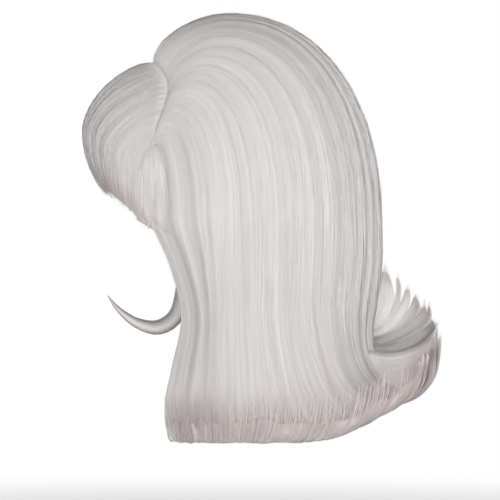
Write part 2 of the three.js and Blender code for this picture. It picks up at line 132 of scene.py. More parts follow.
def waves(u: Grid, seed: int, count: int, low: float, high: float) -> Grid:
    """Smooth uneven wave of about -1 to 1 made of a few sines.

    Args:
        u: Places where the wave is wanted.
        seed: Seed of the sines' pitches and phases.
        count: How many sines are added.
        low: Lowest number of waves over one unit of u.
        high: Highest number of waves over one unit of u.

    Returns:
        The wave's height at each place.
    """
    rng = np.random.default_rng(seed)
    total = np.zeros_like(np.asarray(u, float))
    for _ in range(count):
        total = total + np.sin(math.tau * (rng.uniform(low, high) * u + rng.uniform()))
    return total / math.sqrt(count)


class Table:
    """Sections along a strand, read on a smooth curve through their rows."""

    def __init__(self, columns: Sequence[str], rows: Sequence[Sequence[float]]) -> None:
        """Keeps the rows; the first column holds the stations.

        Args:
            columns: Names of the columns.
            rows: Rows; the first column holds the stations.
        """
        data = np.array(rows, float)
        self.at = data[:, 0]
        self.values = {name: data[:, k] for k, name in enumerate(columns)}

    def __call__(self, name: str, station: Grid) -> Grid:
        """Value of a column at each station.

        Args:
            name: Column to read.
            station: Stations along the strand.

        Returns:
            The column's value at each station.
        """
        value = self.values[name]
        slope = np.empty_like(value)
        slope[1:-1] = (value[2:] - value[:-2]) / (self.at[2:] - self.at[:-2])
        slope[0] = (value[1] - value[0]) / (self.at[1] - self.at[0])
        slope[-1] = (value[-1] - value[-2]) / (self.at[-1] - self.at[-2])
        k = np.clip(np.searchsorted(self.at, station, side="right") - 1, 0, len(self.at) - 2)
        span = self.at[k + 1] - self.at[k]
        t = (station - self.at[k]) / span
        rise = 2 * t**3 - 3 * t**2
        bend = (t**3 - 2 * t**2 + t) * slope[k] + (t**3 - t**2) * slope[k + 1]
        return value[k] * (1 + rise) - value[k + 1] * rise + span * bend


@dataclass(frozen=True)
class Head:
    """The head that the cap fits, measured on the inside of the cap."""

    half_width: float = 76 * MM
    half_length: float = 94 * MM
    top_height: float = 95 * MM
    cap_wall: float = 2 * MM

    def height_over(self, y: float) -> float:
        """Height of the bare head above a place on its middle line."""
        return self.top_height * (math.sqrt(1.0 - (y / self.half_length) ** 2) - 1.0)

    def point(self, turn: Grid, polar: Grid, grown: float) -> Grid:
        """Point on the head grown by some amount.

        Args:
            turn: Angle round from the back.
            polar: Angle down from the top.
            grown: How far the surface stands off the head.

        Returns:
            Points, one for each pair of angles.
        """
        return xyz(
            (self.half_width + grown) * np.sin(polar) * np.sin(turn),
            (self.half_length + grown) * np.sin(polar) * np.cos(turn),
            (self.top_height + grown) * np.cos(polar) - self.top_height,
        )


@dataclass(frozen=True)
class Lock:
    """Form of a lock in the flip: shares of its reach and rise, beside the face and behind, and its lean."""

    reach: Grid = 1.0
    side_rise: Grid = 1.0
    back_rise: Grid = 1.0
    lean: Grid = 0.0


EDGE_LOCKS = np.array(
    [
        # reach, rise beside the face, rise behind
        [1.00, 1.15, 1.20],
        [0.84, 1.50, 1.50],
        [1.04, 0.90, 1.00],
        [0.90, 1.35, 1.60],
        [0.97, 1.00, 1.15],
    ]
)


class HairSurface:
    """What the hair's layers ask of the surface that they follow, with the answers of a plain one."""

    map_length: float = 1.0
    hair: "HairForm"

    def swept(self, u: Grid, v: Grid) -> Grid:
        """Place round the rim that hair from a root at u has drifted to."""
        return u

    def drift_room(self, span: Span) -> Span:
        """How far hair drifts below and above the edges of its span."""
        return 0.0, 0.0

    def trimmed(self, root: Grid, end: Grid) -> Grid:
        """Stations where hair from each root ends."""
        return end

    def soft_shading(self, flat: Grid, u: Grid, v: Grid, under: Grid, soft: Grid) -> tuple[Grid, Grid]:
        """Direction that strands are shaded by and how much it counts, at places and stations."""
        return soft, np.ones(())


@dataclass
class HairForm(HairSurface):
    """Surface that the crown's and sides' hair follows, from the parting over the crown to the flip's tips.

    u goes round the rim from the left cheek (0) by the back to the right cheek (1). v goes along a strand:
    0 at the parting, 1 at the crown's lower edge, 2 where the flip starts, 3 at its tips.
    """

    head: Head = field(default_factory=Head)
    parting_setback: float = 50 * MM
    parting_bow: float = 16 * MM
    parting_top_depth: float = 40 * MM
    parting_end_depth: float = 12 * MM
    parting_end_drop: float = 75 * MM
    crown_top_depth: float = 71 * MM
    crown_side_depth: float = 39 * MM
    crown_back_depth: float = 73 * MM
    crest_share: float = 0.32
    widest_setback: float = 25 * MM
    cheek_depth: float = 20 * MM
    cheek_setback: float = 48 * MM
    crown_drop: float = 129 * MM
    side_fall: float = 188 * MM
    back_fall: float = 155 * MM
    side_reach: float = 52 * MM
    back_reach: float = 53 * MM
    wall: float = 17 * MM
    jaw_setback: float = 27 * MM
    front_fullness: float = 1.7
    back_fullness: float = 2.2
    rise_share: float = 0.3
    locks_round: int = 20
    lowest: float = 2.6
    broad_relief: float = 1.1 * MM
    fine_relief: float = 0.35 * MM
    far_rise: float = 0.6
    far_place: tuple[float, float, float, float] = (0.5, 0.62, 0.66, 0.74)
    near_dip: float = 0.42
    near_place: tuple[float, float, float, float] = (0.22, 0.32, 0.36, 0.47)
    sweep: float = 0.09
    sweep_place: tuple[float, float, float, float] = (0.12, 0.28, 0.28, 0.5)
    sweep_stations: Span = (1.5, 2.9)
    trimmed_place: Span = (0.28, 0.74)
    tip_stations: Span = (2.4, 2.75)
    face_edge: float = 0.03
    map_length: float = 3.0
    last: float = 3.3
    sections: Table = field(
        default_factory=lambda: Table(
            ("at", "side_out", "side_drop", "back_out", "back_drop", "wall", "setback"),
            (
                (1.00, 0.00, 0.00, 0.00, 0.00, 1.50, 0.00),
                (1.33, -0.04, 0.22, 0.00, 0.23, 1.30, 0.63),
                (1.66, -0.13, 0.46, -0.08, 0.46, 1.10, 1.00),
                (2.00, -0.15, 0.71, -0.17, 0.67, 1.00, 0.67),
                (2.20, -0.08, 0.86, -0.08, 0.83, 0.95, 0.45),
                (2.40, 0.15, 0.97, 0.17, 0.96, 0.80, 0.50),
                (2.60, 0.50, 1.00, 0.54, 1.00, 0.60, 0.75),
                (2.80, 0.83, 0.95, 0.88, 0.90, 0.30, 0.70),
                (3.00, 1.00, 0.86, 1.00, 0.70, 0.15, 0.60),
                (3.30, 1.04, 0.80, 1.05, 0.62, 0.10, 0.55),
            ),
        )
    )

    @property
    def hair(self) -> "HairForm":
        """Surface whose flip gives locks their form: this one."""
        return self

    @property
    def crown_half_width(self) -> float:
        """Half of the crown's width at its rim."""
        return self.head.half_width + self.crown_side_depth

    @property
    def cheek_half_width(self) -> float:
        """Half of the width between the hair's front edges."""
        return self.head.half_width + self.cheek_depth

    def half(self, u: Grid) -> Grid:
        """Place on the left half that mirrors a place round the rim."""
        return np.where(u > 0.5, 1.0 - u, u)

    def rim(self, u: Grid) -> Grid:
        """Point of the crown's lower edge.

        Args:
            u: Places round the rim.

        Returns:
            Points, one for each place.
        """
        cheek_turn = math.acos(self.cheek_half_width / self.crown_half_width)
        front_span = (self.widest_setback + self.cheek_setback) / math.sin(cheek_turn)
        back_span = self.head.half_length + self.crown_back_depth - self.widest_setback
        turn = mix(-cheek_turn, math.pi / 2, self.half(u) / 0.5)
        span = np.where(turn > 0, back_span, front_span)
        side = np.where(u > 0.5, -1.0, 1.0)
        return xyz(
            side * self.crown_half_width * np.cos(turn),
            self.widest_setback + span * np.sin(turn),
            np.full_like(turn, -self.crown_drop),
        )

    def outward(self, u: Grid) -> Grid:
        """Level direction straight out of the rim, never over the face.

        Args:
            u: Places round the rim.

        Returns:
            Directions, one for each place.
        """
        step = 0.002
        run = self.rim(u + step) - self.rim(u - step)
        across = xyz(run[..., 1], np.maximum(-run[..., 0], 0.0), np.zeros_like(u))
        return unit(across)

    def facing(self, u: Grid) -> Grid:
        """Direction that the flip's underside faces near its tips: out and a little down."""
        return unit(self.outward(u) + np.array([0.0, 0.0, -0.45]))

    def backness(self, u: Grid) -> Grid:
        """Share of the back's form: 0 beside the face, 1 behind."""
        return smoothstep(self.half(u), 0.24, 0.44)

    @property
    def parting_top(self) -> float:
        """Height of the parting's ridge at its middle."""
        return self.head.height_over(self.parting_setback) + self.parting_top_depth

    def parting(self, u: Grid) -> Grid:
        """Point of the parting's ridge.

        Args:
            u: Places round the rim.

        Returns:
            Points, one for each place.
        """
        turn = math.pi * u
        return xyz(
            (self.head.half_width + self.parting_end_depth) * np.cos(turn),
            -self.parting_setback + self.parting_bow * np.sin(2 * turn) ** 2,
            mix(-self.parting_end_drop, self.parting_top, np.sin(turn)),
        )

    def crown_point(self, u: Grid, v: Grid) -> Grid:
        """Point of the crown: up from the parting to the crest, then down to the rim.

        Args:
            u: Places round the rim.
            v: Stations along the strand.

        Returns:
            Points, one for each place and station.
        """
        root, end = self.parting(u), self.rim(u)
        lift = (self.crown_top_depth - self.parting_top) * np.abs(np.sin(math.pi * u)) ** 0.75
        crest = root[..., 2] + lift
        rising = v < self.rise_share
        up_run, up = quarter(np.clip(v / self.rise_share, 0, 1), self.front_fullness)
        share = np.clip((1 - v) / (1 - self.rise_share), 0, 1)
        down_run, down = quarter(share, self.back_fullness)
        across = np.where(rising, self.crest_share * up_run, 1 - (1 - self.crest_share) * down_run)
        level = np.where(rising, root[..., 2] + lift * up, mix(end[..., 2], crest, down))
        point = xyz(
            mix(root[..., 0], end[..., 0], across),
            mix(root[..., 1], end[..., 1], across),
            level,
        )
        middle = np.array([0.0, self.widest_setback, -self.crown_drop])
        return point + unit(point - middle) * self.relief(u, v)[..., None]

    def edge_lock(self, u: Grid) -> Lock:
        """Form of the flip's edge at a place round the rim.

        Args:
            u: Places round the rim.

        Returns:
            The form at each place.
        """
        place = np.clip(u, 0, 1) * self.locks_round
        own = EDGE_LOCKS[np.minimum(place.astype(int), self.locks_round - 1) % len(EDGE_LOCKS)]
        ridge = np.abs(np.sin(math.pi * place)) ** 0.6
        return Lock(
            reach=mix(1.0, own[..., 0], ridge),
            side_rise=mix(0.85, own[..., 1], ridge),
            back_rise=mix(0.85, own[..., 2], ridge),
        )

    def swept(self, u: Grid, v: Grid) -> Grid:
        """Place round the rim that hair from a root at u has drifted to, backward on its way down."""
        drift = self.sweep * hump(self.half(u), *self.sweep_place) * smoothstep(v, *self.sweep_stations)
        return u + np.where(u > 0.5, -1.0, 1.0) * drift

    def drift_room(self, span: Span) -> Span:
        """How far the side's hair drifts below and above the edges of its span."""
        return self.sweep * (0.5 < span[0] < 0.9), self.sweep * (0.1 < span[1] < 0.5)

    def trimmed(self, root: Grid, end: Grid) -> Grid:
        """Stations where hair from each root ends, shorter behind."""
        behind = (root > self.trimmed_place[0]) & (root < self.trimmed_place[1])
        return np.where(behind[:, None], np.minimum(end, 2.9 + 0.3 * (end - 2.8)), end)

    def soft_shading(self, flat: Grid, u: Grid, v: Grid, under: Grid, soft: Grid) -> tuple[Grid, Grid]:
        """Direction that strands are shaded by and how much it counts.

        Args:
            flat: Places of the strands' points, with an axis for their sides.
            u: Places of the strands' stations.
            v: Stations along the strands.
            under: Whether each strand lies on the hair's inside.
            soft: Direction out of the surface.

        Returns:
            The direction, turned outward at the tips and by the face, and its share in the shading.
        """
        at_tips = smoothstep(v, *self.tip_stations)
        share = 1 - at_tips * np.where(under, 0.55, 0.85)
        by_face = smoothstep(v, 2.0, 2.2) * (1 - smoothstep(self.half(u), 0.0, self.face_edge))
        outward = np.where(under, np.maximum(0.35 * at_tips, by_face), by_face)
        direction = unit(mix(soft, self.facing(flat), outward[..., None, None]))
        return direction, share[..., None, None]

    def unswept(self, u: Grid, v: Grid) -> Grid:
        """Place of the root that hair at u has drifted from.

        Args:
            u: Places round the rim.
            v: Stations along the strand.

        Returns:
            Places of the roots.
        """
        root = u
        for _ in range(6):
            root = u - (self.swept(root, v) - root)
        return root

    def soft_lock(self, u: Grid) -> Lock:
        """Form of the flip's edge with its locks blended softly into each other.

        Args:
            u: Places round the rim.

        Returns:
            The form at each place.
        """
        edge = self.edge_lock(u)
        far = smoothstep(u, 0.47, 0.55)
        dip = self.near_dip * hump(u, *self.near_place)
        rise = self.far_rise * hump(u, *self.far_place)
        uneven = [waves(u, seed, *LOCK_PITCHES) for seed in LOCK_SEEDS]
        return Lock(
            reach=mix(1.0, edge.reach, 0.5) + 0.02 * uneven[0],
            side_rise=mix(1.0, edge.side_rise, 0.4) + 0.08 * uneven[1] - dip,
            back_rise=mix(1.0, edge.back_rise, 0.2 + 0.2 * far) + 0.05 * uneven[2] - dip + rise,
        )

    def relief(self, u: Grid, v: Grid) -> Grid:
        """Height of the soft locks that the hair lies in.

        Args:
            u: Places round the rim.
            v: Stations along the strand.

        Returns:
            Heights over the plain surface.
        """
        u = self.unswept(u, v)
        drift = 0.008 * np.sin(1.9 * v + 9.0 * u)
        broad = waves(u + drift, *BROAD_WAVES)
        fine = waves(u + 0.7 * drift, *FINE_WAVES)
        height = self.broad_relief * broad * smoothstep(v, 0.05, 0.7)
        height = height * mix(0.7, 1.0, smoothstep(self.half(u), 0.02, 0.12))
        height = height + self.fine_relief * fine * smoothstep(v, 0.1, 0.6)
        return height * (1 - 0.75 * smoothstep(v, 2.2, 2.7))

    def profile(self, u: Grid, v: Grid, lock: Lock) -> tuple[Grid, Grid]:
        """How far out of the rim and below it the surface lies at a station.

        Args:
            u: Places round the rim.
            v: Stations along the strand.
            lock: Form of the lock at each place.

        Returns:
            Distances out of the rim, and heights, which are negative below it.
        """
        back = self.backness(u)
        read = self.sections
        reach = mix(1.0, lock.reach, smoothstep(v, 2.3, 3.0))

        def lifted(share: Grid, rise: Grid) -> Grid:
            """Share of the drop, with the flip's rise past the lowest station."""
            return np.where(v > self.lowest, 1 - (1 - share) * rise, share)

        side_drop = lifted(read("side_drop", v), lock.side_rise) * self.side_fall
        back_drop = lifted(read("back_drop", v), lock.back_rise) * self.back_fall
        side_out = read("side_out", v) * self.side_reach
        back_out = read("back_out", v) * self.back_reach
        return mix(side_out, back_out, back) * reach, -mix(side_drop, back_drop, back)

    def fall_point(self, u: Grid, v: Grid, lock: Lock, depth: Grid = 0.0) -> Grid:
        """Point of the fall and the flip.

        Args:
            u: Places round the rim.
            v: Stations along the strand.
            lock: Form of the lock at each place.
            depth: Share of the way through the hair's wall.

        Returns:
            Points, one for each place and station.
        """
        out, down = self.profile(u, v, lock)
        ahead_out, ahead_down = self.profile(u, v + 0.01, lock)
        run = unit(np.stack([ahead_out - out, ahead_down - down], axis=-1))
        thick = self.sections("wall", v) * self.wall * depth - self.relief(u, v) * (1 - 2 * depth)
        outward = self.outward(u)
        point = self.rim(u) + outward * (out + thick * run[..., 1])[..., None]
        setback = self.sections("setback", v) * self.jaw_setback
        point[..., 1] += setback * (1 - smoothstep(self.half(u), 0, 0.14))
        point[..., 2] += down - thick * run[..., 0]
        sway = lock.lean * smoothstep(v, self.lowest - 0.5, 3.0)
        point[..., 0] += -outward[..., 1] * sway
        point[..., 1] += outward[..., 0] * sway
        return point

    def point(self, u: Grid, v: Grid, lock: Lock | None = None, depth: Grid = 0.0) -> Grid:
        """Point of the hair's surface at any station.

        Args:
            u: Places round the rim.
            v: Stations along the strand.
            lock: Form of the lock at each place, or none for the flip's plain edge.
            depth: Share of the way through the hair's wall.

        Returns:
            Points, one for each place and station.
        """
        u, v = np.broadcast_arrays(u, v)
        lock = lock or self.edge_lock(u)
        fall = self.fall_point(u, np.maximum(v, 1.0), lock, depth)
        crown = self.crown_point(u, np.clip(v, 0.0, 1.0))
        return np.where((v < 1.0)[..., None], crown, fall)

    def normal(self, u: Grid, v: Grid, lock: Lock | None = None) -> Grid:
        """Direction straight out of the surface."""
        u, v = np.broadcast_arrays(u, v)
        return surface_normal(lambda a, b: self.point(a, b, lock), u, v, self.last)


def quarter(share: Grid, fullness: float) -> tuple[Grid, Grid]:
    """Quarter of a rounded outline: how far across and up at a share of its turn.

    Args:
        share: Share of the quarter turn.
        fullness: 2 is an ellipse, less is flatter.

    Returns:
        Shares of the way across and up.
    """
    turn = (math.pi / 2) * share
    across = 1 - np.abs(np.cos(turn)) ** (2 / fullness)
    return across, np.abs(np.sin(turn)) ** (2 / fullness)


def surface_normal(surface: Callable[[Grid, Grid], Grid], u: Grid, v: Grid, last: float) -> Grid:
    """Direction out of a surface given by places and stations, by small steps along both.

    Args:
        surface: Turns places and stations into points.
        u: Places round the rim.
        v: Stations along the strand.
        last: Last station of the surface.

    Returns:
        Directions of length one.
    """
    step = 0.006
    across = surface(u + step, v) - surface(u - step, v)
    along = surface(u, np.clip(v + step, 0, last)) - surface(u, np.clip(v - step, 0, last))
    return -unit(np.cross(across, along))


@dataclass
class FringeForm(HairSurface):
    """Surface that the fringe follows, from the parting forward to its tucked edge (v from 0 to 1)."""

    hair: HairForm = field(default_factory=HairForm)
    depth: float = 19 * MM
    fullest_drop: float = 39 * MM
    temple_fullest_drop: float = 105 * MM
    front_drop: float = 101 * MM
    temple_drop: float = 137 * MM
    tuck: float = 22 * MM
    temple_tuck: float = 3 * MM
    temple_clearance: float = 2 * MM
    fullness: float = 1.65
    fullest_share: float = 0.6
    broad_relief: float = 0.7 * MM
    fine_relief: float = 0.25 * MM
    middle: tuple[float, float, float] = (0.0, -30 * MM, -70 * MM)
    last: float = 1.15

    def point(self, u: Grid, v: Grid, lock: Lock | None = None, depth: Grid = 0.0) -> Grid:
        """Point of the fringe's surface.

        Args:
            u: Places from the left temple (0) to the right temple (1).
            v: Stations from the parting (0) to the lower edge (1).
            lock: Not used, the fringe has no flip.
            depth: Not used, the fringe has one layer.

        Returns:
            Points, one for each place and station.
        """
        u, v = np.broadcast_arrays(u, v)
        hair = self.hair
        front = np.sin(math.pi * self.hair.half(u))
        root = hair.parting(u)
        reach = hair.head.half_length + self.depth - hair.cheek_setback
        full_x = hair.cheek_half_width * np.cos(math.pi * u)
        full_y = -hair.cheek_setback - self.temple_clearance - reach * front
        full_z = -mix(self.temple_fullest_drop, self.fullest_drop, front**0.8)
        edge_z = -mix(self.front_drop, self.temple_drop, (1 - front) ** 1.6)
        across, up = quarter(np.clip(1 - v / self.fullest_share, 0, 1), self.fullness)
        upper = xyz(
            mix(root[..., 0], full_x, 1 - across),
            mix(root[..., 1], full_y, 1 - across),
            mix(full_z, root[..., 2], up),
        )
        t = np.clip((v - self.fullest_share) / (1 - self.fullest_share), 0, 1.2)
        tuck = mix(self.temple_tuck, self.tuck, front) * t**2.1
        away = unit(xyz(full_x / hair.cheek_half_width, -front, np.zeros_like(front)))
        lower = xyz(full_x, full_y, mix(full_z, edge_z, t)) - away * tuck[..., None]
        point = np.where((v < self.fullest_share)[..., None], upper, lower)
        return point + unit(point - np.array(self.middle)) * self.relief(u, v)[..., None]

    def relief(self, u: Grid, v: Grid) -> Grid:
        """Height of the soft locks that the fringe lies in.

        Args:
            u: Places from temple to temple.
            v: Stations from the parting down.

        Returns:
            Heights over the plain surface.
        """
        drift = 0.02 * np.sin(3.0 * v + 7.0 * u)
        broad = self.broad_relief * waves(u + drift, *FRINGE_BROAD_WAVES)
        fine = self.fine_relief * waves(u + drift, *FRINGE_FINE_WAVES)
        return (broad + fine) * smoothstep(v, 0.05, 0.4)

    def normal(self, u: Grid, v: Grid, lock: Lock | None = None) -> Grid:
        """Direction straight out of the fringe."""
        u, v = np.broadcast_arrays(u, v)
        return -surface_normal(self.point, u, v, self.last)


def set_inputs(node: bpy.types.Node, values: dict[str | int, object]) -> None:
    """Gives a node's inputs their values."""
    for socket, value in values.items():
        node.inputs[socket].default_value = value


def add_node(
    tree: bpy.types.NodeTree, kind: str, values: dict[str | int, object] | None = None, **settings: object
) -> bpy.types.Node:
    """Shader node with its settings and its inputs' values.

    Args:
        tree: Node tree that it goes into.
        kind: Type of the node, without its prefix.
        values: Values of its inputs.
        settings: Its other settings.

    Returns:
        The new node.
    """
    node = tree.nodes.new(f"ShaderNode{kind}")
    for setting, value in settings.items():
        setattr(node, setting, value)
    set_inputs(node, values or {})
    return node


def new_material(name: str, values: dict[str | int, object]) -> tuple[bpy.types.Material, bpy.types.Node]:
    """Material with nodes, and its shader with some inputs' values.

    Args:
        name: Name of what is made.
        values: Values of the shader's inputs.

    Returns:
        The material and its shader.
    """
    material = bpy.data.materials.new(name)
    material.use_nodes = True
    shader = material.node_tree.nodes["Principled BSDF"]
    set_inputs(shader, values)
    return material, shader


@dataclass(frozen=True)
class HairFinish:
    """Finish of fine white fibre: two tones and how they vary from strand to strand, and painted shade, a
    darker pinkish grey, over the last stretch towards the tips.
    """

    name: str
    light: tuple[float, float, float] = (0.87, 0.838, 0.828)
    shade: tuple[float, float, float] = (0.76, 0.722, 0.712)
    # Painted shade: the pinkish grey that the tips and the flip's underside are multiplied by, standing for
    # the shade where they face down and away from the light. It ramps in between the next two places along
    # the strand map.
    ends: tuple[float, float, float] = (0.84, 0.785, 0.778)
    ends_from: float = 0.72
    ends_full: float = 0.95
    roughness: float = 0.42
    specular: float = 0.35
    relief: float = 0.25
    relief_depth: float = 0.4 * MM

    def material(self) -> bpy.types.Material:
        """Material that reads the strand map: tone across, root to tip along, with painted shade multiplied
        in near the tips.

        Returns:
            The finished material.
        """
        surface = {"Roughness": self.roughness, "Specular IOR Level": self.specular}
        material, shader = new_material(self.name, surface)
        tree, link = material.node_tree, material.node_tree.links.new
        strand_map = add_node(tree, "UVMap", uv_map="strand")
        tones = {"Light": (*self.light, 1.0), "Shade": (*self.shade, 1.0)}
        fibre = add_node(tree, "Group", tones, node_tree=fibre_tone_group())
        split = add_node(tree, "SeparateXYZ")
        # Painted shade: darkens the colour towards the tips along the strand map.
        ends = {"From Min": self.ends_from, "From Max": self.ends_full}
        painted_shade_share = add_node(tree, "MapRange", ends, interpolation_type="SMOOTHSTEP")
        painted_shade_tint = add_node(tree, "Mix", {"B": (*self.ends, 1.0)}, data_type="RGBA", blend_type="MULTIPLY")
        bump = add_node(tree, "Bump", {"Strength": self.relief, "Distance": self.relief_depth})
        link(strand_map.outputs["UV"], fibre.inputs["Strand"])
        link(strand_map.outputs["UV"], split.inputs[0])
        link(split.outputs["Y"], painted_shade_share.inputs["Value"])
        link(painted_shade_share.outputs["Result"], painted_shade_tint.inputs["Factor"])
        link(fibre.outputs["Colour"], painted_shade_tint.inputs["A"])
        link(painted_shade_tint.outputs["Result"], shader.inputs["Base Color"])
        link(fibre.outputs["Height"], bump.inputs["Height"])
        link(bump.outputs["Normal"], shader.inputs["Normal"])
        return material


FINE_STREAKS = (900.0, 3.0, 1.0)
WIDE_STREAKS = (60.0, 1.6, 1.0)


def fibre_tone_group() -> bpy.types.NodeTree:
    """Node group that turns the strand map into a streaky tone and a fine height, made once.

    Returns:
        The group, with the inputs Strand, Light and Shade.
    """
    name = "fibre_tone"
    if name in bpy.data.node_groups:
        return bpy.data.node_groups[name]
    group = bpy.data.node_groups.new(name, "ShaderNodeTree")
    for title, kind in (("Strand", "Vector"), ("Light", "Color"), ("Shade", "Color")):
        group.interface.new_socket(title, in_out="INPUT", socket_type=f"NodeSocket{kind}")
    for title, kind in (("Colour", "Color"), ("Height", "Float")):
        group.interface.new_socket(title, in_out="OUTPUT", socket_type=f"NodeSocket{kind}")
    entry, leave = group.nodes.new("NodeGroupInput"), group.nodes.new("NodeGroupOutput")
    link = group.links.new
    noises = []
    for streaks, detail in ((FINE_STREAKS, 3.0), (WIDE_STREAKS, 2.0)):
        spread = add_node(group, "Mapping", {"Scale": streaks})
        noise = add_node(group, "TexNoise", {"Scale": 1.0, "Detail": detail})
        link(entry.outputs["Strand"], spread.inputs["Vector"])
        link(spread.outputs["Vector"], noise.inputs["Vector"])
        noises.append(noise)
    fine, wide = noises
    half_wide = add_node(group, "Math", {1: 0.5}, operation="MULTIPLY")
    both = add_node(group, "Math", {1: 0.5}, operation="MULTIPLY_ADD")
    ramp = add_node(group, "MapRange", {"From Min": 0.3, "From Max": 0.6})
    blend = add_node(group, "Mix", data_type="RGBA")
    link(wide.outputs["Fac"], half_wide.inputs[0])
    link(fine.outputs["Fac"], both.inputs[0])
    link(half_wide.outputs[0], both.inputs[2])
    link(both.outputs[0], ramp.inputs["Value"])
    link(ramp.outputs["Result"], blend.inputs["Factor"])
    link(entry.outputs["Shade"], blend.inputs["A"])
    link(entry.outputs["Light"], blend.inputs["B"])
    link(blend.outputs["Result"], leave.inputs["Colour"])
    link(fine.outputs["Fac"], leave.inputs["Height"])
    return group


@dataclass(frozen=True)
class NetFinish:
    """Finish of the cap's knitted net."""

    name: str = "cap_net"
    colour: tuple[float, float, float] = (0.72, 0.69, 0.65)
    gap_share: float = 0.7
    pitch: float = 900.0
    roughness: float = 0.85
    relief: float = 0.5
    relief_depth: float = 0.4 * MM

    def material(self) -> bpy.types.Material:
        """Material with a fine knitted relief on object coordinates.

        Returns:
            The finished material.
        """
        material, shader = new_material(self.name, {"Roughness": self.roughness})
        tree, link = material.node_tree, material.node_tree.links.new
        place = add_node(tree, "TexCoord")
        knit = add_node(tree, "TexVoronoi", {"Scale": self.pitch})
        gaps = [channel * self.gap_share for channel in self.colour]
        tones = {"A": (*gaps, 1.0), "B": (*self.colour, 1.0)}
        tone = add_node(tree, "Mix", tones, data_type="RGBA")
        bump = add_node(tree, "Bump", {"Strength": self.relief, "Distance": self.relief_depth})
        link(place.outputs["Object"], knit.inputs["Vector"])
        link(knit.outputs["Distance"], tone.inputs["Factor"])
        link(tone.outputs["Result"], shader.inputs["Base Color"])
        link(knit.outputs["Distance"], bump.inputs["Height"])
        link(bump.outputs["Normal"], shader.inputs["Normal"])
        return material


def new_object(name: str, mesh: bpy.types.Mesh, material: bpy.types.Material) -> bpy.types.Object:
    """Object of a mesh, in the scene, with its material.

    Args:
        name: Name of what is made.
        mesh: Its mesh.
        material: Its finish.

    Returns:
        The new object.
    """
    mesh.materials.append(material)
    piece = bpy.data.objects.new(name, mesh)
    bpy.context.scene.collection.objects.link(piece)
    return piece


def grid_sheet(
    name: str,
    columns: int,
    rows: int,
    place: Callable[[Grid, Grid], Grid],
    thickness: float,
    material: bpy.types.Material,
    strand: Callable[[Grid, Grid], tuple[Grid, Grid]] | None = None,
) -> bpy.types.Object:
    """Sheet of hair made from a grid whose points are moved onto a surface, then given a wall.

    Args:
        name: Name of the piece.
        columns: Faces across the hair.
        rows: Faces along the hair.
        place: Turns shares across and along (0 to 1) into points.
        thickness: Wall, to the inside.
        material: Finish of the sheet.
        strand: Turns the shares into places on the strand map, when they aren't the shares themselves.

    Returns:
        The new object, with the strand map across and along.
    """
    bm = bmesh.new()
    bmesh.ops.create_grid(bm, x_segments=columns, y_segments=rows, size=0.5, calc_uvs=True)
    bm.verts.index_update()
    flat = np.array([v.co[:2] for v in bm.verts]) + 0.5
    points = place(flat[:, 0], flat[:, 1])
    across, along = strand(flat[:, 0], flat[:, 1]) if strand else (flat[:, 0], flat[:, 1])
    layer = bm.loops.layers.uv.verify()
    for face in bm.faces:
        for loop in face.loops:
            loop[layer].uv = (across[loop.vert.index], along[loop.vert.index])
        face.smooth = True
    for vert, point in zip(bm.verts, points):
        vert.co = point
    bmesh.ops.remove_doubles(bm, verts=bm.verts, dist=1e-6)
    bmesh.ops.recalc_face_normals(bm, faces=bm.faces)
    mesh = bpy.data.meshes.new(name)
    bm.to_mesh(mesh)
    bm.free()
    mesh.uv_layers[0].name = "strand"
    piece = new_object(name, mesh, material)
    wall = piece.modifiers.new("wall", "SOLIDIFY")
    wall.thickness = thickness
    wall.offset = -1.0
    wall.use_rim = True
    return piece


def tube_mesh(name: str, rings: Grid, across: Grid, along: Grid, normals: Grid) -> bpy.types.Mesh:
    """Many closed tubes as one mesh.

    Args:
        name: Name of the mesh.
        rings: Points of each tube, tubes by stations by sides by 3.
        across: Place on the strand map's first axis, tubes by stations by sides.
        along: Place on the strand map's second axis, tubes by stations.
        normals: Shading direction at each point, as rings.

    Returns:
        The mesh, with its strand map and soft shading.
    """
    count, stations, sides, _ = rings.shape
    first = (np.arange(count) * stations * sides)[:, None, None]
    ring = (np.arange(stations - 1) * sides)[None, :, None]
    side = np.arange(sides)[None, None, :]
    near = first + ring + side
    beside = first + ring + (side + 1) % sides
    quads = np.stack([near, beside, beside + sides, near + sides], axis=-1).reshape(-1, 4)
    roots = (first[:, 0] + np.arange(sides)[::-1][None, :]).reshape(-1, sides)
    tips = (first[:, 0] + (stations - 1) * sides + np.arange(sides)[None, :]).reshape(-1, sides)
    corners = np.concatenate([quads.ravel(), roots.ravel(), tips.ravel()])
    sizes = np.concatenate([np.full(len(quads), 4), np.full(2 * count, sides)])
    mesh = bpy.data.meshes.new(name)
    mesh.vertices.add(rings.size // 3)
    mesh.vertices.foreach_set("co", rings.ravel())
    mesh.loops.add(len(corners))
    mesh.loops.foreach_set("vertex_index", corners)
    mesh.polygons.add(len(sizes))
    mesh.polygons.foreach_set("loop_start", np.concatenate([[0], np.cumsum(sizes)[:-1]]))
    mesh.polygons.foreach_set("use_smooth", np.ones(len(sizes), bool))
    mesh.update(calc_edges=True)
    mesh.validate()
    strand_map = mesh.uv_layers.new(name="strand")
    places = np.stack([across, np.broadcast_to(along[..., None], across.shape)], axis=-1).reshape(-1, 2)
    strand_map.data.foreach_set("uv", places[corners].ravel())
    mesh.normals_split_custom_set_from_vertices(unit(normals).reshape(-1, 3))
    return mesh


LONG = (
    0.0, 0.012, 0.03, 0.055, 0.085, 0.118, 0.15, 0.19, 0.23, 0.28, 0.34, 0.41, 0.48, 0.55, 0.61, 0.655,
    0.69, 0.72, 0.75, 0.78, 0.81, 0.84, 0.87, 0.9, 0.925, 0.95, 0.975, 1.0,
)
MEDIUM = tuple(k / 15 for k in range(16))
SHORT = tuple(k / 11 for k in range(12))
EDGE_MARGIN = 0.004
SEAM_OVERLAP = 0.03
ROOT_SINK = 0.4 * MM
ROOT_WIDTH = 0.45
TIP_WIDTH = 0.08
LAID_HALF_WIDTH = 0.22 * MM


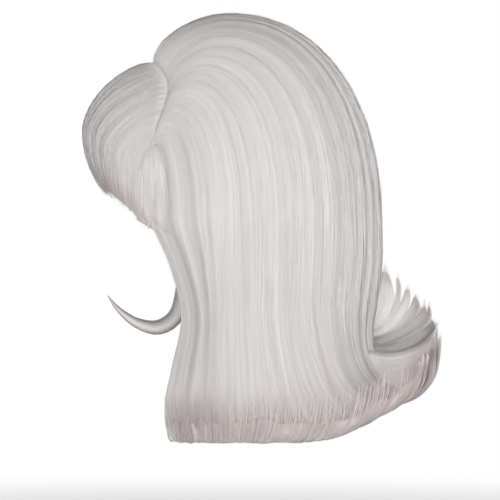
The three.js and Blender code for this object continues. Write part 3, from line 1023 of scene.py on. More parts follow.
@dataclass(frozen=True)
class Layer:
    """A layer of hair on a surface: how many locks or strands, how large, how high and how long."""

    count: int
    shares: tuple[float, ...]
    sides: int
    half_width: Span
    half_height: Span
    lift: Span
    depth: Span = (0.0, 0.0)
    start: Span = (0.0, 0.0)
    end: Span = (2.9, 3.0)
    gather: float = 0.6
    spread: float = 0.0
    taper: float = 0.4
    softness: float = 0.8
    scatter: float = 1.0


@dataclass(frozen=True)
class Clumps:
    """Clumps that the hair gathers to on its way to the tips, with a form drawn for each."""

    number: int
    seed: int
    reach_spread: float = 0.02
    rise_spread: float = 0.05
    lean_spread: float = 4 * MM

    def centre(self, u: Grid) -> tuple[Grid, Grid]:
        """Number and middle of the clump at each place."""
        clump = np.clip((u * self.number).astype(int), 0, self.number - 1)
        return clump, (clump + 0.5) / self.number

    def lock(self, form: HairForm, clump: Grid, layer: Layer, rng: np.random.Generator) -> Lock:
        """Form of the tip of each lock or strand, near its clump's own.

        Args:
            form: Surface whose flip the clumps follow.
            clump: Number of the clump of each lock or strand.
            layer: Layer that they belong to.
            rng: Source of the draws.

        Returns:
            The forms, with axes for stations and sides.
        """
        draws = np.random.default_rng(self.seed)
        middle = (np.arange(self.number) + 0.5) / self.number
        soft = form.soft_lock(middle)
        own = [draws.normal(0.0, 1.0, self.number) for _ in range(4)]
        reach = soft.reach + self.reach_spread * np.abs(own[0])
        side_rise = soft.side_rise + self.rise_spread * own[1]
        back_rise = soft.back_rise + 0.5 * self.rise_spread * own[2]
        lean = self.lean_spread * (waves(middle, self.seed, *LOCK_PITCHES) + 0.7 * own[3])
        loose = rng.normal(0.0, layer.scatter, (4, len(clump)))
        return Lock(
            reach=(reach[clump] + 0.02 * np.abs(loose[0]))[:, None, None],
            side_rise=(side_rise[clump] + 0.10 * loose[1])[:, None, None],
            back_rise=(back_rise[clump] + 0.05 * loose[2])[:, None, None],
            lean=(lean[clump] + 1.5 * MM * loose[3])[:, None, None],
        )


def hair_edges(form: HairSurface, span: Span) -> Span:
    """Lowest and highest place that a layer's hair may take, past its span where sides meet.

    Args:
        form: Surface that the hair follows.
        span: Where the layer starts and ends.

    Returns:
        The lowest and the highest place.
    """
    below, above = form.drift_room(span)
    low = span[0] - SEAM_OVERLAP if span[0] > 0.1 else span[0] + EDGE_MARGIN
    high = span[1] + SEAM_OVERLAP if span[1] < 0.9 else span[1] - EDGE_MARGIN
    return low - below, high + above


def hair_mesh(
    name: str,
    form: HairSurface,
    clumps: Clumps,
    layer: Layer,
    span: Span,
    seed: int,
    mirror: bool = False,
) -> bpy.types.Mesh:
    """Mesh of one layer of hair that follows a surface.

    Args:
        name: Name of the mesh.
        form: Surface that the hair follows.
        clumps: Clumps that it gathers to.
        layer: How many locks or strands there are, and their form.
        span: Where the layer starts and ends round the rim.
        seed: Seed of the draws.
        mirror: Whether places run the other way round on this surface.

    Returns:
        The mesh, with its strand map.
    """
    rng = np.random.default_rng(seed)
    count = layer.count

    def draw(low_high: Span) -> Grid:
        """Value for each lock or strand between a low and a high one."""
        return rng.uniform(*low_high, count)[:, None]

    root = (np.arange(count) + rng.uniform(0, 1, count)) / count
    rng.shuffle(root)
    root = mix(*span, root)
    clump, middle = clumps.centre(root)
    start, end = draw(layer.start), draw(layer.end)
    end = form.trimmed(root, end)
    v = start + (end - start) * np.array(layer.shares)[None, :]
    top = end.max()
    gather = layer.gather * smoothstep(v / top, 0.3, 1.0)
    sway = rng.normal(0, layer.spread, count)[:, None]
    sway = sway * np.sin(v * draw((0.8, 2.2)) + draw((0, math.tau)))
    u = form.swept(mix(root[:, None], middle[:, None], gather) + sway, v)
    low, high = hair_edges(form, span)
    tip_taper = np.clip((end - v) / (layer.taper * top / 3.0), TIP_WIDTH, 1.0) ** 0.7
    taper = tip_taper * np.clip(ROOT_WIDTH + (v - start) / 0.3, ROOT_WIDTH, 1.0)
    width = draw(layer.half_width) * taper
    height = draw(layer.half_height) * taper
    lift = draw(layer.lift) * smoothstep(v, 0.0, 0.12) - ROOT_SINK * (1 - smoothstep(v, 0.0, 0.1))
    depth = draw(layer.depth)
    lock = clumps.lock(form.hair, clump, layer, rng)
    turn = math.tau * (np.arange(layer.sides) + 0.5) / layer.sides * (-1 if mirror else 1)
    flat = np.clip(u[..., None], low, high)
    wide = np.clip(flat + width[..., None] * np.cos(turn), low - EDGE_MARGIN, high + EDGE_MARGIN)
    stations = np.broadcast_to(v[..., None], wide.shape)
    normal = form.normal(flat, v[..., None], lock)
    side_of_wall = np.where(depth > 0.5, -1.0, 1.0)[..., None, None]
    rise = side_of_wall[..., 0] * lift[..., None] + height[..., None] * np.sin(turn)
    rings = form.point(wide, stations, lock, depth[..., None]) + normal * rise[..., None]
    step = 0.002
    ahead, behind = (form.point(flat + way, v[..., None], lock, depth[..., None]) for way in (step, -step))
    run = (ahead - behind) / (2 * step)
    reach = np.maximum(np.linalg.norm(run, axis=-1) * width[..., None], 1e-6)
    tilt = unit(run) * (np.cos(turn) / reach)[..., None]
    tilt = tilt + normal * (np.sin(turn) / height[..., None])[..., None]
    soft, share = form.soft_shading(flat, u, v, depth > 0.5, normal * side_of_wall)
    softness = layer.softness * share
    normals = unit(tilt) * (1 - softness) + soft * softness
    tone = rng.uniform(0, 1, count)[:, None, None] + (wide - flat)
    return tube_mesh(name, rings, tone, v / form.map_length, normals)


def laid_strands(
    name: str,
    line: Grid,
    side: Grid,
    out: Grid,
    fade: Grid,
    along: Grid,
    half_height: float,
    lift: Span,
    rng: np.random.Generator,
    finish: bpy.types.Material,
) -> bpy.types.Object:
    """Piece of thin three-sided strands laid over a sheet.

    Args:
        name: Name of the piece.
        line: Points along each strand.
        side: Direction across each strand.
        out: Direction out of the sheet.
        fade: Share of the full section at each point.
        along: Place on the strand map's second axis.
        half_height: Half of a strand's height.
        lift: Lowest and highest place over the sheet, in metres.
        rng: Source of the draws.
        finish: Finish of the strands.

    Returns:
        The new object.
    """
    count = len(line)
    turn = math.tau * np.arange(3) / 3
    wide = side[..., None, :] * np.cos(turn)[:, None] * LAID_HALF_WIDTH
    high = out[..., None, :] * np.sin(turn)[:, None] * half_height
    above = out[..., None, :] * rng.uniform(*lift, count)[:, None, None, None]
    rings = line[..., None, :] + (wide + high) * fade[..., None, None] + above
    normals = np.broadcast_to(out[..., None, :], rings.shape)
    tone = np.broadcast_to(rng.uniform(0, 1, count)[:, None, None], rings.shape[:3])
    return new_object(name, tube_mesh(name, rings, tone, along, normals), finish)


class Density(Enum):
    """How the hair's layers are laid on each side: strands, strays, and the flip's inside and tips."""

    STRANDS = Layer(
        count=300, shares=LONG, sides=3, half_width=(0.0002, 0.0004), half_height=(0.08 * MM, 0.14 * MM),
        lift=(0.3 * MM, 0.9 * MM), start=(0.0, 0.5), end=(2.3, 3.0), gather=0.4, spread=0.002,
        softness=1.0, scatter=0.5,
    )
    STRAYS = Layer(
        count=30, shares=LONG, sides=3, half_width=(0.00015, 0.0003), half_height=(0.06 * MM, 0.1 * MM),
        lift=(1.0 * MM, 3.5 * MM), start=(0.0, 0.8), end=(2.0, 3.1), gather=0.1, spread=0.008,
        softness=1.0, scatter=1.0,
    )
    UNDER_STRANDS = Layer(
        count=900, shares=SHORT, sides=3, half_width=(0.0003, 0.0006), half_height=(0.08 * MM, 0.15 * MM),
        lift=(0.0 * MM, 0.5 * MM), depth=(1.0, 1.0), start=(2.3, 2.6), end=(2.8, 3.25), gather=0.1,
        spread=0.006, taper=0.35, softness=1.0, scatter=0.35,
    )
    TIP_STRANDS = Layer(
        count=260, shares=SHORT, sides=3, half_width=(0.0002, 0.00045), half_height=(0.08 * MM, 0.16 * MM),
        lift=(0.0 * MM, 1.2 * MM), depth=(0.0, 0.3), start=(2.1, 2.5), end=(2.9, 3.2), gather=0.3,
        spread=0.005, taper=0.4, softness=1.0, scatter=0.8,
    )


FAN_COLUMNS = ("at", "root_x", "tip_x", "y0", "z0", "y1", "z1", "y2", "z2", "y3", "z3", "y4", "z4")
FAN_GUIDES = (
    # place in the fan, root x, tip x, then five points (y, z) from root to tip, in millimetres
    (0.00, -14, -26, 154, -224, 163, -213, 166, -199, 167, -186, 169, -168),
    (0.18, -16, -30, 154, -231, 171, -221, 179, -207, 181, -191, 177, -170),
    (0.29, -18, -36, 154, -233, 173, -225, 182, -214, 187, -200, 188, -183),
    (0.41, -18, -40, 154, -237, 174, -231, 188, -219, 196, -205, 198, -189),
    (0.54, -10, -32, 153, -240, 175, -236, 191, -227, 202, -214, 207, -201),
    (0.70, 4, -14, 149, -243, 174, -243, 194, -236, 210, -226, 217, -215),
    (0.80, 20, 4, 141, -236, 165, -248, 191, -246, 210, -236, 222, -224),
    (0.90, 40, 24, 134, -235, 153, -251, 176, -256, 199, -249, 220, -231),
    (1.00, 41, 30, 132, -248, 151, -269, 176, -285, 199, -277, 219, -255),
)


@dataclass
class Fan:
    """Shorter hair inside the back flip: locks that curl up out of the fall, nested from steep to low."""

    form: HairForm
    finish: bpy.types.Material
    guides: Table = field(default_factory=lambda: Table(FAN_COLUMNS, FAN_GUIDES))
    lock_edges: tuple[float, ...] = (-0.1, 0.18, 0.29, 0.42, 0.56, 0.7, 0.85, 1.0)
    bulges: Span = (2.6 * MM, 0.8 * MM)
    sheet_share: float = 0.93
    # Root and reach of the fan on the strand map along. These set how much of the finish's painted shade
    # towards the tips the fan's hair takes.
    map_root: float = 0.6
    map_reach: float = 0.25
    strands: int = 1300
    strand_start: Span = (0.0, 0.3)
    strand_end: Span = (0.8, 1.04)
    strand_half_height: float = 0.14 * MM
    strand_lift: Span = (0.0, 0.9 * MM)
    seed: int = 351

    def across_lock(self, at: Grid) -> Grid:
        """How far across its lock a place in the fan is, from -1 to 1.

        Args:
            at: Places across the fan.

        Returns:
            Places across the lock.
        """
        edges = np.array(self.lock_edges)
        lock = np.clip(np.searchsorted(edges, at, side="right") - 1, 0, len(edges) - 2)
        return 2 * (at - edges[lock]) / (edges[lock + 1] - edges[lock]) - 1

    def tip(self, at: Grid) -> Grid:
        """Share of the guides' length that the hair reaches."""
        notch = mix(0.42, 0.04, smoothstep(at, 0.35, 0.6))
        return 1.0 - notch * np.abs(self.across_lock(at)) ** 4

    def bare_point(self, at: Grid, share: Grid) -> Grid:
        """Point of the fan's surface without its locks, on smooth curves through the guides' points.

        Args:
            at: Places across the fan.
            share: Shares of the way from root to tip.

        Returns:
            Points, one for each place and share.
        """
        nodes = np.linspace(0, 1, 5)
        y, z = 0.0, 0.0
        for k in range(5):
            others = np.delete(nodes, k)
            weight = np.prod([(share - other) / (nodes[k] - other) for other in others], axis=0)
            y = y + weight * self.guides(f"y{k}", at)
            z = z + weight * self.guides(f"z{k}", at)
        x = mix(self.guides("root_x", at), self.guides("tip_x", at), share)
        return xyz(x, y, z) * MM

    def normal(self, at: Grid, share: Grid) -> Grid:
        """Direction out of the fan, to the open side of the bowl that it forms.

        Args:
            at: Places across the fan.
            share: Shares of the way from root to tip.

        Returns:
            Directions of length one.
        """
        step = 0.01
        across = self.bare_point(at + step, share) - self.bare_point(at - step, share)
        along = self.bare_point(at, share + step) - self.bare_point(at, share - step)
        out = unit(np.cross(along, across))
        return out * np.where(out[..., :1] < 0, -1.0, 1.0)

    def point(self, at: Grid, share: Grid) -> Grid:
        """Point of the fan's surface with its rounded locks.

        Args:
            at: Places across the fan.
            share: Shares of the way from root to tip.

        Returns:
            Points, one for each place and share.
        """
        crest = np.sqrt(np.clip(1 - self.across_lock(at) ** 2, 0, 1)) * smoothstep(share, 0.2, 0.7)
        bulge = mix(*self.bulges, smoothstep(at, 0.15, 0.6)) * crest
        return self.bare_point(at, share) + self.normal(at, share) * bulge[..., None]

    def place(self, across: Grid, along: Grid) -> Grid:
        """Point of the sheet at shares across and along."""
        return self.point(across, along * self.tip(across) * self.sheet_share)

    def strand(self, across: Grid, along: Grid) -> tuple[Grid, Grid]:
        """Place on the strand map at shares across and along."""
        # The lock at the fan's edge stays at the map's root, out of the painted shade of the tips, so it
        # reads lighter than the rest.
        run = along * smoothstep(across, 0.1, 0.4)
        return 0.45 + 0.2 * across, self.map_root + self.map_reach * run

    def build(self) -> list[bpy.types.Object]:
        """Builds the sheet and its strands, on the wig's one body.

        Returns:
            The two pieces.
        """
        sheet = grid_sheet("fan", 112, 36, self.place, 0.6 * MM, self.finish, self.strand)
        rng = np.random.default_rng(self.seed)
        count = self.strands
        root = rng.uniform(0.0, 1.0, count)[:, None]
        start = rng.uniform(*self.strand_start, count)[:, None]
        end = self.tip(root) * rng.uniform(*self.strand_end, count)[:, None]
        share = start + (end - start) * np.array(MEDIUM)[None, :]
        at = root - 0.03 * self.across_lock(root) * smoothstep(share, 0.5, 1.1)
        at = np.clip(at + 0.006 * np.sin(4 * share + rng.uniform(0, math.tau, count)[:, None]), 0, 1)
        line, out = self.point(at, share), self.normal(at, share)
        along = unit(self.bare_point(at, share + 0.01) - self.bare_point(at, share))
        side = unit(np.cross(out, along))
        fade = np.clip((end - share) / 0.25, 0.1, 1.0)
        map_along = self.map_root + self.map_reach * share
        form = (self.strand_half_height, self.strand_lift)
        strands = laid_strands("fan_strands", line, side, out, fade, map_along, *form, rng, self.finish)
        for piece in (sheet, strands):
            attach(piece, "root")
            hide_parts("back_flip")
        return [sheet, strands]


@dataclass
class HairSide:
    """Hair of one side of the wig: layers of locks and strands from the parting to the flip."""

    part: Part
    form: HairForm
    clumps: Clumps
    finish: bpy.types.Material
    seed: int

    def build(self) -> list[bpy.types.Object]:
        """Builds the side's locks and strands, on the wig's one body.

        Returns:
            The pieces, one for each layer.
        """
        pieces = []
        for number, layer in enumerate(Density):
            name = f"{self.part.title}_{layer.name.lower()}"
            mesh = hair_mesh(
                name, self.form, self.clumps, layer.value, self.part.span, self.seed * 100 + number
            )
            piece = new_object(name, mesh, self.finish)
            below = layer.value.start[0] > 1.0
            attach(piece, "root")
            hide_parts(*(self.part.nodes[1:] if below else self.part.nodes))
            pieces.append(piece)
        return pieces


@dataclass
class HairBase:
    """Sheet below the hair of one half: down the outside, round the flip's tips and up the inside."""

    title: str
    span: Span
    nodes: tuple[str, ...]
    form: HairForm
    finish: bpy.types.Material
    columns: int = 160
    rows: int = 110
    last: float = 2.82
    back_longer: float = 0.1
    tip_waves: float = 0.02
    inner_start: float = 1.1
    inset: float = 0.9 * MM
    tip_inset: float = 0.4 * MM
    tip_margin: float = 0.03
    turn_at: float = 0.6
    edge_share: float = 0.02
    root_dip: float = 3 * MM

    def station(self, across: Grid, along: Grid) -> Grid:
        """Station of the hair at shares across and along the sheet.

        Args:
            across: Shares across the sheet.
            along: Shares along the sheet.

        Returns:
            Stations, down the outside and back up the inside.
        """
        u = mix(*self.span, across)
        last = self.last + self.back_longer * smoothstep(self.form.half(u), 0.2, 0.3)
        last = last + self.tip_waves * waves(u, *TIP_WAVES)
        down = np.clip(along / self.turn_at, 0, 1)
        back = np.clip((along - self.turn_at) / (1 - self.turn_at), 0, 1)
        return np.where(along < self.turn_at, last * down, mix(last, self.inner_start, back))

    def strand(self, across: Grid, along: Grid) -> tuple[Grid, Grid]:
        """Place on the strand map at shares across and along."""
        return mix(*self.span, across), self.station(across, along) / self.form.map_length

    def place(self, across: Grid, along: Grid) -> Grid:
        """Point of the sheet at shares across and along.

        Args:
            across: Shares across the sheet.
            along: Shares along the sheet.

        Returns:
            Points of the sheet.
        """
        v = self.station(across, along)
        u = self.form.swept(mix(*self.span, across), v)
        inner = smoothstep(along, self.turn_at - 0.02, self.turn_at + 0.02)
        edge = np.sqrt(1 - (1 - np.clip(self.form.half(u) / self.edge_share, 0, 1)) ** 2)
        depth = 0.5 + (inner - 0.5) * edge
        depth = np.where(v < 1.0, 0.0, mix(0.0, depth, smoothstep(v, 1.0, 1.3)))
        inset = mix(self.inset, self.tip_inset, smoothstep(v, 2.2, 2.8))
        lift = -inset * (1 - 2 * inner) * edge
        lift = lift * smoothstep(v, 0.0, 0.05)
        lock = self.form.soft_lock(u)
        lock = replace(lock, reach=lock.reach - self.tip_margin)
        point = self.form.point(u, v, lock, depth) + self.form.normal(u, v, lock) * lift[:, None]
        point[..., 2] -= self.root_dip * (1 - smoothstep(v, 0.0, 0.02))
        return point

    def build(self) -> bpy.types.Object:
        """Builds the sheet, on the wig's one body.

        Returns:
            The piece.
        """
        piece = grid_sheet(
            f"{self.title}_base", self.columns, self.rows, self.place, 0.5 * MM, self.finish, self.strand
        )
        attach(piece, "root")
        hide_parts(*self.nodes)
        return piece


class FringeDensity(Enum):
    """How the fringe's layers are laid."""

    LOCKS = Layer(
        count=60, shares=MEDIUM, sides=6, half_width=(0.006, 0.016), half_height=(0.25 * MM, 0.5 * MM),
        lift=(-0.8 * MM, -0.3 * MM), end=(0.93, 0.99), gather=0.2, spread=0.003, taper=0.3, softness=0.93,
    )
    STRANDS = Layer(
        count=760, shares=SHORT, sides=3, half_width=(0.0005, 0.0009), half_height=(0.08 * MM, 0.14 * MM),
        lift=(0.2 * MM, 0.9 * MM), start=(0.0, 0.1), end=(0.88, 1.01), gather=0.3, spread=0.005,
        softness=1.0,
    )


@dataclass
class Fringe:
    """The puffed fringe: a sheet below, locks and strands over it."""

    form: FringeForm
    finish: bpy.types.Material
    clumps: Clumps = field(default_factory=lambda: Clumps(40, 5))
    inset: float = 0.8 * MM
    root_overlap: float = 1.2 * MM
    sheet_share: float = 0.96
    seed: int = 71

    def place(self, across: Grid, along: Grid) -> Grid:
        """Point of the sheet below the fringe at shares across and along.

        Args:
            across: Shares across the sheet.
            along: Shares along the sheet.

        Returns:
            Points of the sheet.
        """
        u, v = across, along * self.sheet_share
        inset = self.inset * smoothstep(v, 0.0, 0.06)
        point = self.form.point(u, v) - self.form.normal(u, v) * inset[:, None]
        point[..., 1] += self.root_overlap * (1 - smoothstep(v, 0.0, 0.05))
        return point

    def build(self) -> list[bpy.types.Object]:
        """Builds the sheet, the locks and the strands, on the wig's one body.

        Returns:
            The pieces.
        """
        pieces = [grid_sheet("fringe_base", 96, 36, self.place, 4 * MM, self.finish)]
        for number, layer in enumerate(FringeDensity):
            name = f"fringe_{layer.name.lower()}"
            mesh = hair_mesh(
                name, self.form, self.clumps, layer.value, (0.0, 1.0), self.seed + number, mirror=True
            )
            pieces.append(new_object(name, mesh, self.finish))
        for piece in pieces:
            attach(piece, "root")
            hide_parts("fringe")
        return pieces


@dataclass
class Temple:
    """Hair that lies over the valley between the fringe and the side, so that one runs into the other."""

    title: str
    fringe: FringeForm
    finish: bpy.types.Material
    right: bool
    fringe_reach: float = 0.07
    side_reach: float = 0.035
    side_stations: Span = (0.22, 1.16)
    fringe_stations: Span = (0.16, 1.0)
    stand_off: Span = (-1.5 * MM, 0.7 * MM)
    map_reach: float = 0.35
    strands: int = 170
    strand_across: Span = (0.06, 0.94)
    strand_start: Span = (0.05, 0.5)
    strand_end: Span = (0.75, 1.08)
    strand_half_height: float = 0.12 * MM
    strand_lift: Span = (0.1 * MM, 0.8 * MM)
    seed: int = 401

    def place(self, across: Grid, along: Grid) -> Grid:
        """Point of the veil: across from the fringe to the side, along from the parting down.

        Args:
            across: Shares across, from the fringe to the side.
            along: Shares along, from the parting down.

        Returns:
            Points of the veil.
        """
        fringe_v = mix(*self.fringe_stations, along)
        side_v = mix(*self.side_stations, along)
        places = (self.fringe_reach, self.side_reach)
        front_u, back_u = (np.full_like(along, 1.0 - u if self.right else u) for u in places)
        front = self.fringe.point(front_u, fringe_v)
        back = self.fringe.hair.point(back_u, side_v)
        out = unit(self.fringe.normal(front_u, fringe_v) + self.fringe.hair.normal(back_u, side_v))
        sink = smoothstep(np.minimum(across, 1 - across), 0.0, 0.35)
        sink = sink * smoothstep(along, 0.0, 0.45) * smoothstep(1.0 - along, 0.0, 0.12)
        return mix(front, back, across[..., None]) + out * mix(*self.stand_off, sink)[..., None]

    def build(self) -> list[bpy.types.Object]:
        """Builds the veil and its strands, on the wig's one body.

        Returns:
            The two pieces.
        """
        veil = grid_sheet(f"{self.title}_temple", 24, 40, self.place, 0.5 * MM, self.finish)
        rng = np.random.default_rng(self.seed)
        count = self.strands
        spans = (self.strand_across, self.strand_start, self.strand_end)
        across, top, end = (rng.uniform(*span, count)[:, None] for span in spans)
        along = top + (end - top) * np.array(SHORT)[None, :]
        across = across + 0.05 * np.sin(3 * along + rng.uniform(0, math.tau, count)[:, None])
        middle = self.place(across, along)
        step = 0.01
        side = unit(self.place(across + step, along) - self.place(across - step, along))
        run = unit(self.place(across, along + step) - self.place(across, along - step))
        out = unit(np.cross(side, run))
        out = out * np.sign(out[..., :1]) * (-1.0 if self.right else 1.0)
        fade = np.clip((end - along) / 0.3, 0.1, 1.0) * np.clip((along - top) / 0.1 + 0.2, 0.2, 1.0)
        side = side * (-1.0 if self.right else 1.0)
        name = f"{self.title}_temple_strands"
        form = (self.strand_half_height, self.strand_lift)
        strands = laid_strands(name, middle, side, out, fade, along * self.map_reach, *form, rng, self.finish)
        for piece in (veil, strands):
            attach(piece, "root")
            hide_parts("fringe", f"{self.title}_side_hair")
        return [veil, strands]


@dataclass
class FrontFlick:
    """Lock that leaves the hair on the wearer's right and flicks forward to a point."""

    form: HairForm
    finish: bpy.types.Material
    reach: float = 70 * MM
    drop: float = 80 * MM
    top_drop: float = 150 * MM
    half_height: float = 8 * MM
    half_depth: float = 6 * MM
    leaving: float = 1.2
    ends: Span = (5.4, 6.0)
    last: float = 6.0
    stations: int = 24
    strands: int = 160
    path: Table = field(
        default_factory=lambda: Table(
            ("at", "ahead", "down", "inset", "full"),
            (
                (0.0, -0.05, 0.0, 0.0, 0.6),
                (1.0, -0.06, 0.45, 0.1, 0.9),
                (2.0, 0.03, 0.82, 0.2, 1.0),
                (3.0, 0.28, 0.98, 0.35, 0.95),
                (4.0, 0.58, 0.93, 0.55, 0.66),
                (5.0, 0.83, 0.77, 0.8, 0.34),
                (6.0, 1.0, 0.58, 1.0, 0.03),
            ),
        )
    )

    def centre(self, at: Grid) -> Grid:
        """Points of the lock's middle line.

        Args:
            at: Stations along the lock.

        Returns:
            Points, one for each station.
        """
        end, station = np.array([1.0]), np.array([self.leaving])
        start = self.form.fall_point(end, station, self.form.edge_lock(end), 0.5)[0]
        return xyz(
            start[0] + self.path("inset", at) * self.half_depth * 2,
            start[1] - self.path("ahead", at) * self.reach + self.form.jaw_setback * 0.4,
            -self.top_drop - self.path("down", at) * self.drop,
        )

    def tubes(self, name: str, count: int, sides: int, size: float, seed: int) -> bpy.types.Mesh:
        """Mesh of locks or strands laid round the middle line.

        Args:
            name: Name of the mesh.
            count: How many there are.
            sides: Sides of each one's section.
            size: Half width of each one as a share of the lock's.
            seed: Seed of the draws.

        Returns:
            The mesh, with its strand map.
        """
        rng = np.random.default_rng(seed)
        at = np.linspace(0, 1, self.stations)[None, :] * rng.uniform(*self.ends, count)[:, None]
        line = self.centre(at)
        ahead = unit(self.centre(at + 0.02) - line)
        across = np.broadcast_to(np.array([1.0, 0.0, 0.0]), line.shape)
        out = np.cross(ahead, across)
        full = np.clip(self.path("full", at), 0.03, 1.0)
        radius, turn = np.sqrt(rng.uniform(0, 1, count)), rng.uniform(0, math.tau, count)
        room = 1 - size
        shift_x = (radius * np.cos(turn))[:, None] * full * self.half_depth * room
        shift_z = (radius * np.sin(turn))[:, None] * full * self.half_height * room
        middle = line + across * shift_x[..., None] + out * shift_z[..., None]
        angle = math.tau * np.arange(sides) / sides
        wide = across[:, :, None] * (np.cos(angle) * self.half_depth)[:, None]
        high = out[:, :, None] * (np.sin(angle) * self.half_height)[:, None]
        rings = middle[:, :, None] + (wide + high) * (full * size)[..., None, None]
        normals = rings - line[:, :, None]
        tone = rng.uniform(0, 1, count)[:, None, None] + 0.01 * np.cos(angle)
        tone = np.broadcast_to(tone, rings.shape[:3])
        return tube_mesh(name, rings, tone, at / self.last, normals)

    def build(self) -> list[bpy.types.Object]:
        """Builds the lock and its strands, on the wig's one body.

        Returns:
            The two pieces.
        """
        layers = (("front_flick", 7, 10, 0.62, 3), ("front_flick_strands", self.strands, 3, 0.035, 4))
        pieces = [new_object(layer[0], self.tubes(*layer), self.finish) for layer in layers]
        for piece in pieces:
            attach(piece, "root")
            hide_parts("right_side_hair")
        return pieces


@dataclass
class WigCap:
    """Stretch cap: net wall, sewn rows and a thicker hem."""

    head: Head
    finish: bpy.types.Material
    front_drop: float = 56 * MM
    ear_drop: float = 98 * MM
    nape_drop: float = 160 * MM
    columns: int = 96
    rows: int = 48
    seams: int = 12
    hem: float = 0.6 * MM
    seam_height: float = 0.25 * MM
    net_inset: float = 0.3 * MM

    def edge_drop(self, turn: Grid) -> Grid:
        """How far below the origin the edge runs.

        Args:
            turn: Angle round from the back.

        Returns:
            Drops, one for each angle.
        """
        front = smoothstep(-np.cos(turn), 0, 1)
        nape = smoothstep(np.cos(turn), 0.1, 1)
        drop = self.ear_drop - (self.ear_drop - self.front_drop) * front
        return drop + (self.nape_drop - self.ear_drop) * nape

    def place(self, across: Grid, along: Grid) -> Grid:
        """Point of the cap's outer side at shares round and down.

        Args:
            across: Shares round the cap.
            along: Shares down the cap.

        Returns:
            Points of the cap.
        """
        turn = math.tau * across
        top = self.head.top_height
        edge = np.arccos(np.clip((top - self.edge_drop(turn)) / top, -0.95, 0.95))
        from_seam = along * self.seams % 1.0 - 0.5
        sewn = self.seam_height * np.exp(-(from_seam**2) / 0.01) * smoothstep(along, 0.1, 0.2)
        hem = self.hem * smoothstep(along, 0.95, 0.97)
        grown = self.head.cap_wall - self.net_inset + sewn + hem
        inside = self.head.point(turn, edge * along, 0.0)
        return inside + unit(inside + np.array([0, 0, top])) * grown[:, None]

    def build(self) -> bpy.types.Object:
        """Builds the cap, on the wig's one body.

        Returns:
            The piece.
        """
        piece = grid_sheet("cap_net", self.columns, self.rows, self.place, 1.6 * MM, self.finish)
        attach(piece, "root")
        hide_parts("wig_cap")
        return piece


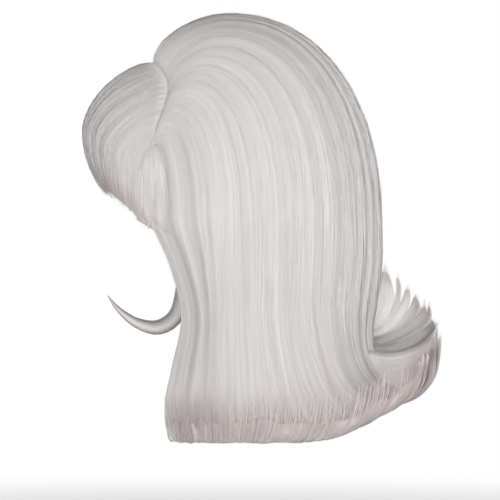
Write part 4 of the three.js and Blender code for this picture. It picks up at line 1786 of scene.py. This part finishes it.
@dataclass
class Studio:
    """Pale floor, soft light and the camera at the wig's left side."""

    centre: tuple[float, float, float] = (0.0, 0.04275, -0.153)
    distance: float = 3.0
    frame_size: float = 0.475
    floor_level: float = -0.46
    floor_radius: float = 1.5
    floor_fade: Span = (0.7, 1.45)
    floor_tone: float = 0.7
    floor_glow: float = 0.25
    sky: float = 0.5
    sensor: float = 36.0
    lights: tuple[tuple[str, tuple[float, float, float], float, float], ...] = (
        # name, place, size and power
        ("key", (2.6, 0.2, 0.1), 1.4, 30.0),
        ("fill", (0.9, -2.3, -0.1), 1.3, 5.0),
        ("back_fill", (1.3, 2.1, -0.2), 1.3, 11.0),
    )

    def build_floor(self) -> None:
        """Round pale floor that fades out into the backdrop."""
        bm = bmesh.new()
        bmesh.ops.create_circle(bm, cap_ends=True, segments=96, radius=self.floor_radius)
        bmesh.ops.translate(bm, verts=bm.verts, vec=(0, 0, self.floor_level))
        mesh = bpy.data.meshes.new("floor")
        bm.to_mesh(mesh)
        bm.free()
        glow = {"Emission Color": WHITE, "Emission Strength": self.floor_glow}
        look = {"Base Color": (*[self.floor_tone] * 3, 1.0), "Roughness": 0.9, **glow}
        material, shader = new_material("pale_floor", look)
        tree, link = material.node_tree, material.node_tree.links.new
        place = add_node(tree, "TexCoord")
        length = add_node(tree, "VectorMath", operation="LENGTH")
        reach = {"From Min": self.floor_fade[0], "From Max": self.floor_fade[1], "To Min": 1.0, "To Max": 0.0}
        fade = add_node(tree, "MapRange", reach, interpolation_type="SMOOTHSTEP")
        link(place.outputs["Object"], length.inputs[0])
        link(length.outputs["Value"], fade.inputs["Value"])
        link(fade.outputs["Result"], shader.inputs["Alpha"])
        new_object("floor", mesh, material)

    def build_world(self) -> None:
        """White backdrop that lights the wig softly from all round."""
        world = bpy.data.worlds.new("studio")
        bpy.context.scene.world = world
        world.use_nodes = True
        tree, link = world.node_tree, world.node_tree.links.new
        sky = tree.nodes["Background"]
        set_inputs(sky, {"Color": WHITE, "Strength": self.sky})
        seen = add_node(tree, "Background", {"Color": WHITE})
        path, blend = add_node(tree, "LightPath"), add_node(tree, "MixShader")
        link(path.outputs["Is Camera Ray"], blend.inputs[0])
        link(sky.outputs[0], blend.inputs[1])
        link(seen.outputs[0], blend.inputs[2])
        link(blend.outputs[0], tree.nodes["World Output"].inputs["Surface"])

    def add_light(self, name: str, place: Sequence[float], size: float, power: float) -> None:
        """Soft square light that looks at the wig.

        Args:
            name: Name of the light.
            place: Where it stands.
            size: Length of its side.
            power: Its power in watts.
        """
        light = bpy.data.lights.new(name, "AREA")
        light.size = size
        light.energy = power
        lamp = bpy.data.objects.new(name, light)
        lamp.location = place
        lamp.rotation_euler = (Vector(self.centre) - Vector(place)).to_track_quat("-Z", "Y").to_euler()
        bpy.context.scene.collection.objects.link(lamp)

    def build(self) -> None:
        """Builds the floor, the light and the camera."""
        self.build_floor()
        self.build_world()
        for light in self.lights:
            self.add_light(*light)
        scene = bpy.context.scene
        scene.view_settings.view_transform = "Standard"
        camera = bpy.data.cameras.new("camera")
        camera.sensor_width = self.sensor
        camera.lens = self.sensor * self.distance / self.frame_size
        camera.clip_end = 50.0
        holder = bpy.data.objects.new("camera", camera)
        holder.location = (self.distance, self.centre[1], self.centre[2])
        holder.rotation_euler = (math.pi / 2, 0.0, math.pi / 2)
        scene.collection.objects.link(holder)
        scene.camera = holder


def main() -> None:
    """Builds the wig's pieces in order, then the studio."""
    form = HairForm()
    hair = HairFinish("white_hair").material()
    clumps = Clumps(110, 977)
    left_nodes = ("crown", "left_side_hair", "left_flip", "back_hair", "back_flip")
    right_nodes = ("crown", "right_side_hair", "right_flip", "back_hair", "back_flip")
    HairBase("left", (0.0, 0.5), left_nodes, form, hair).build()
    HairBase("right", (0.5, 1.0), right_nodes, form, hair).build()
    for number, part in enumerate(Part):
        HairSide(part, form, clumps, hair, seed=11 + number).build()
    Fringe(FringeForm(form), hair).build()
    Temple("left", FringeForm(form), hair, right=False).build()
    Temple("right", FringeForm(form), hair, right=True).build()
    FrontFlick(form, hair).build()
    Fan(form, hair).build()
    WigCap(form.head, NetFinish().material()).build()
    for piece in bpy.context.scene.objects:
        if piece.type == "MESH":
            log.info("%s: %d faces", piece.name, len(piece.data.polygons))
    Studio().build()


if __name__ == "__main__":
    main()
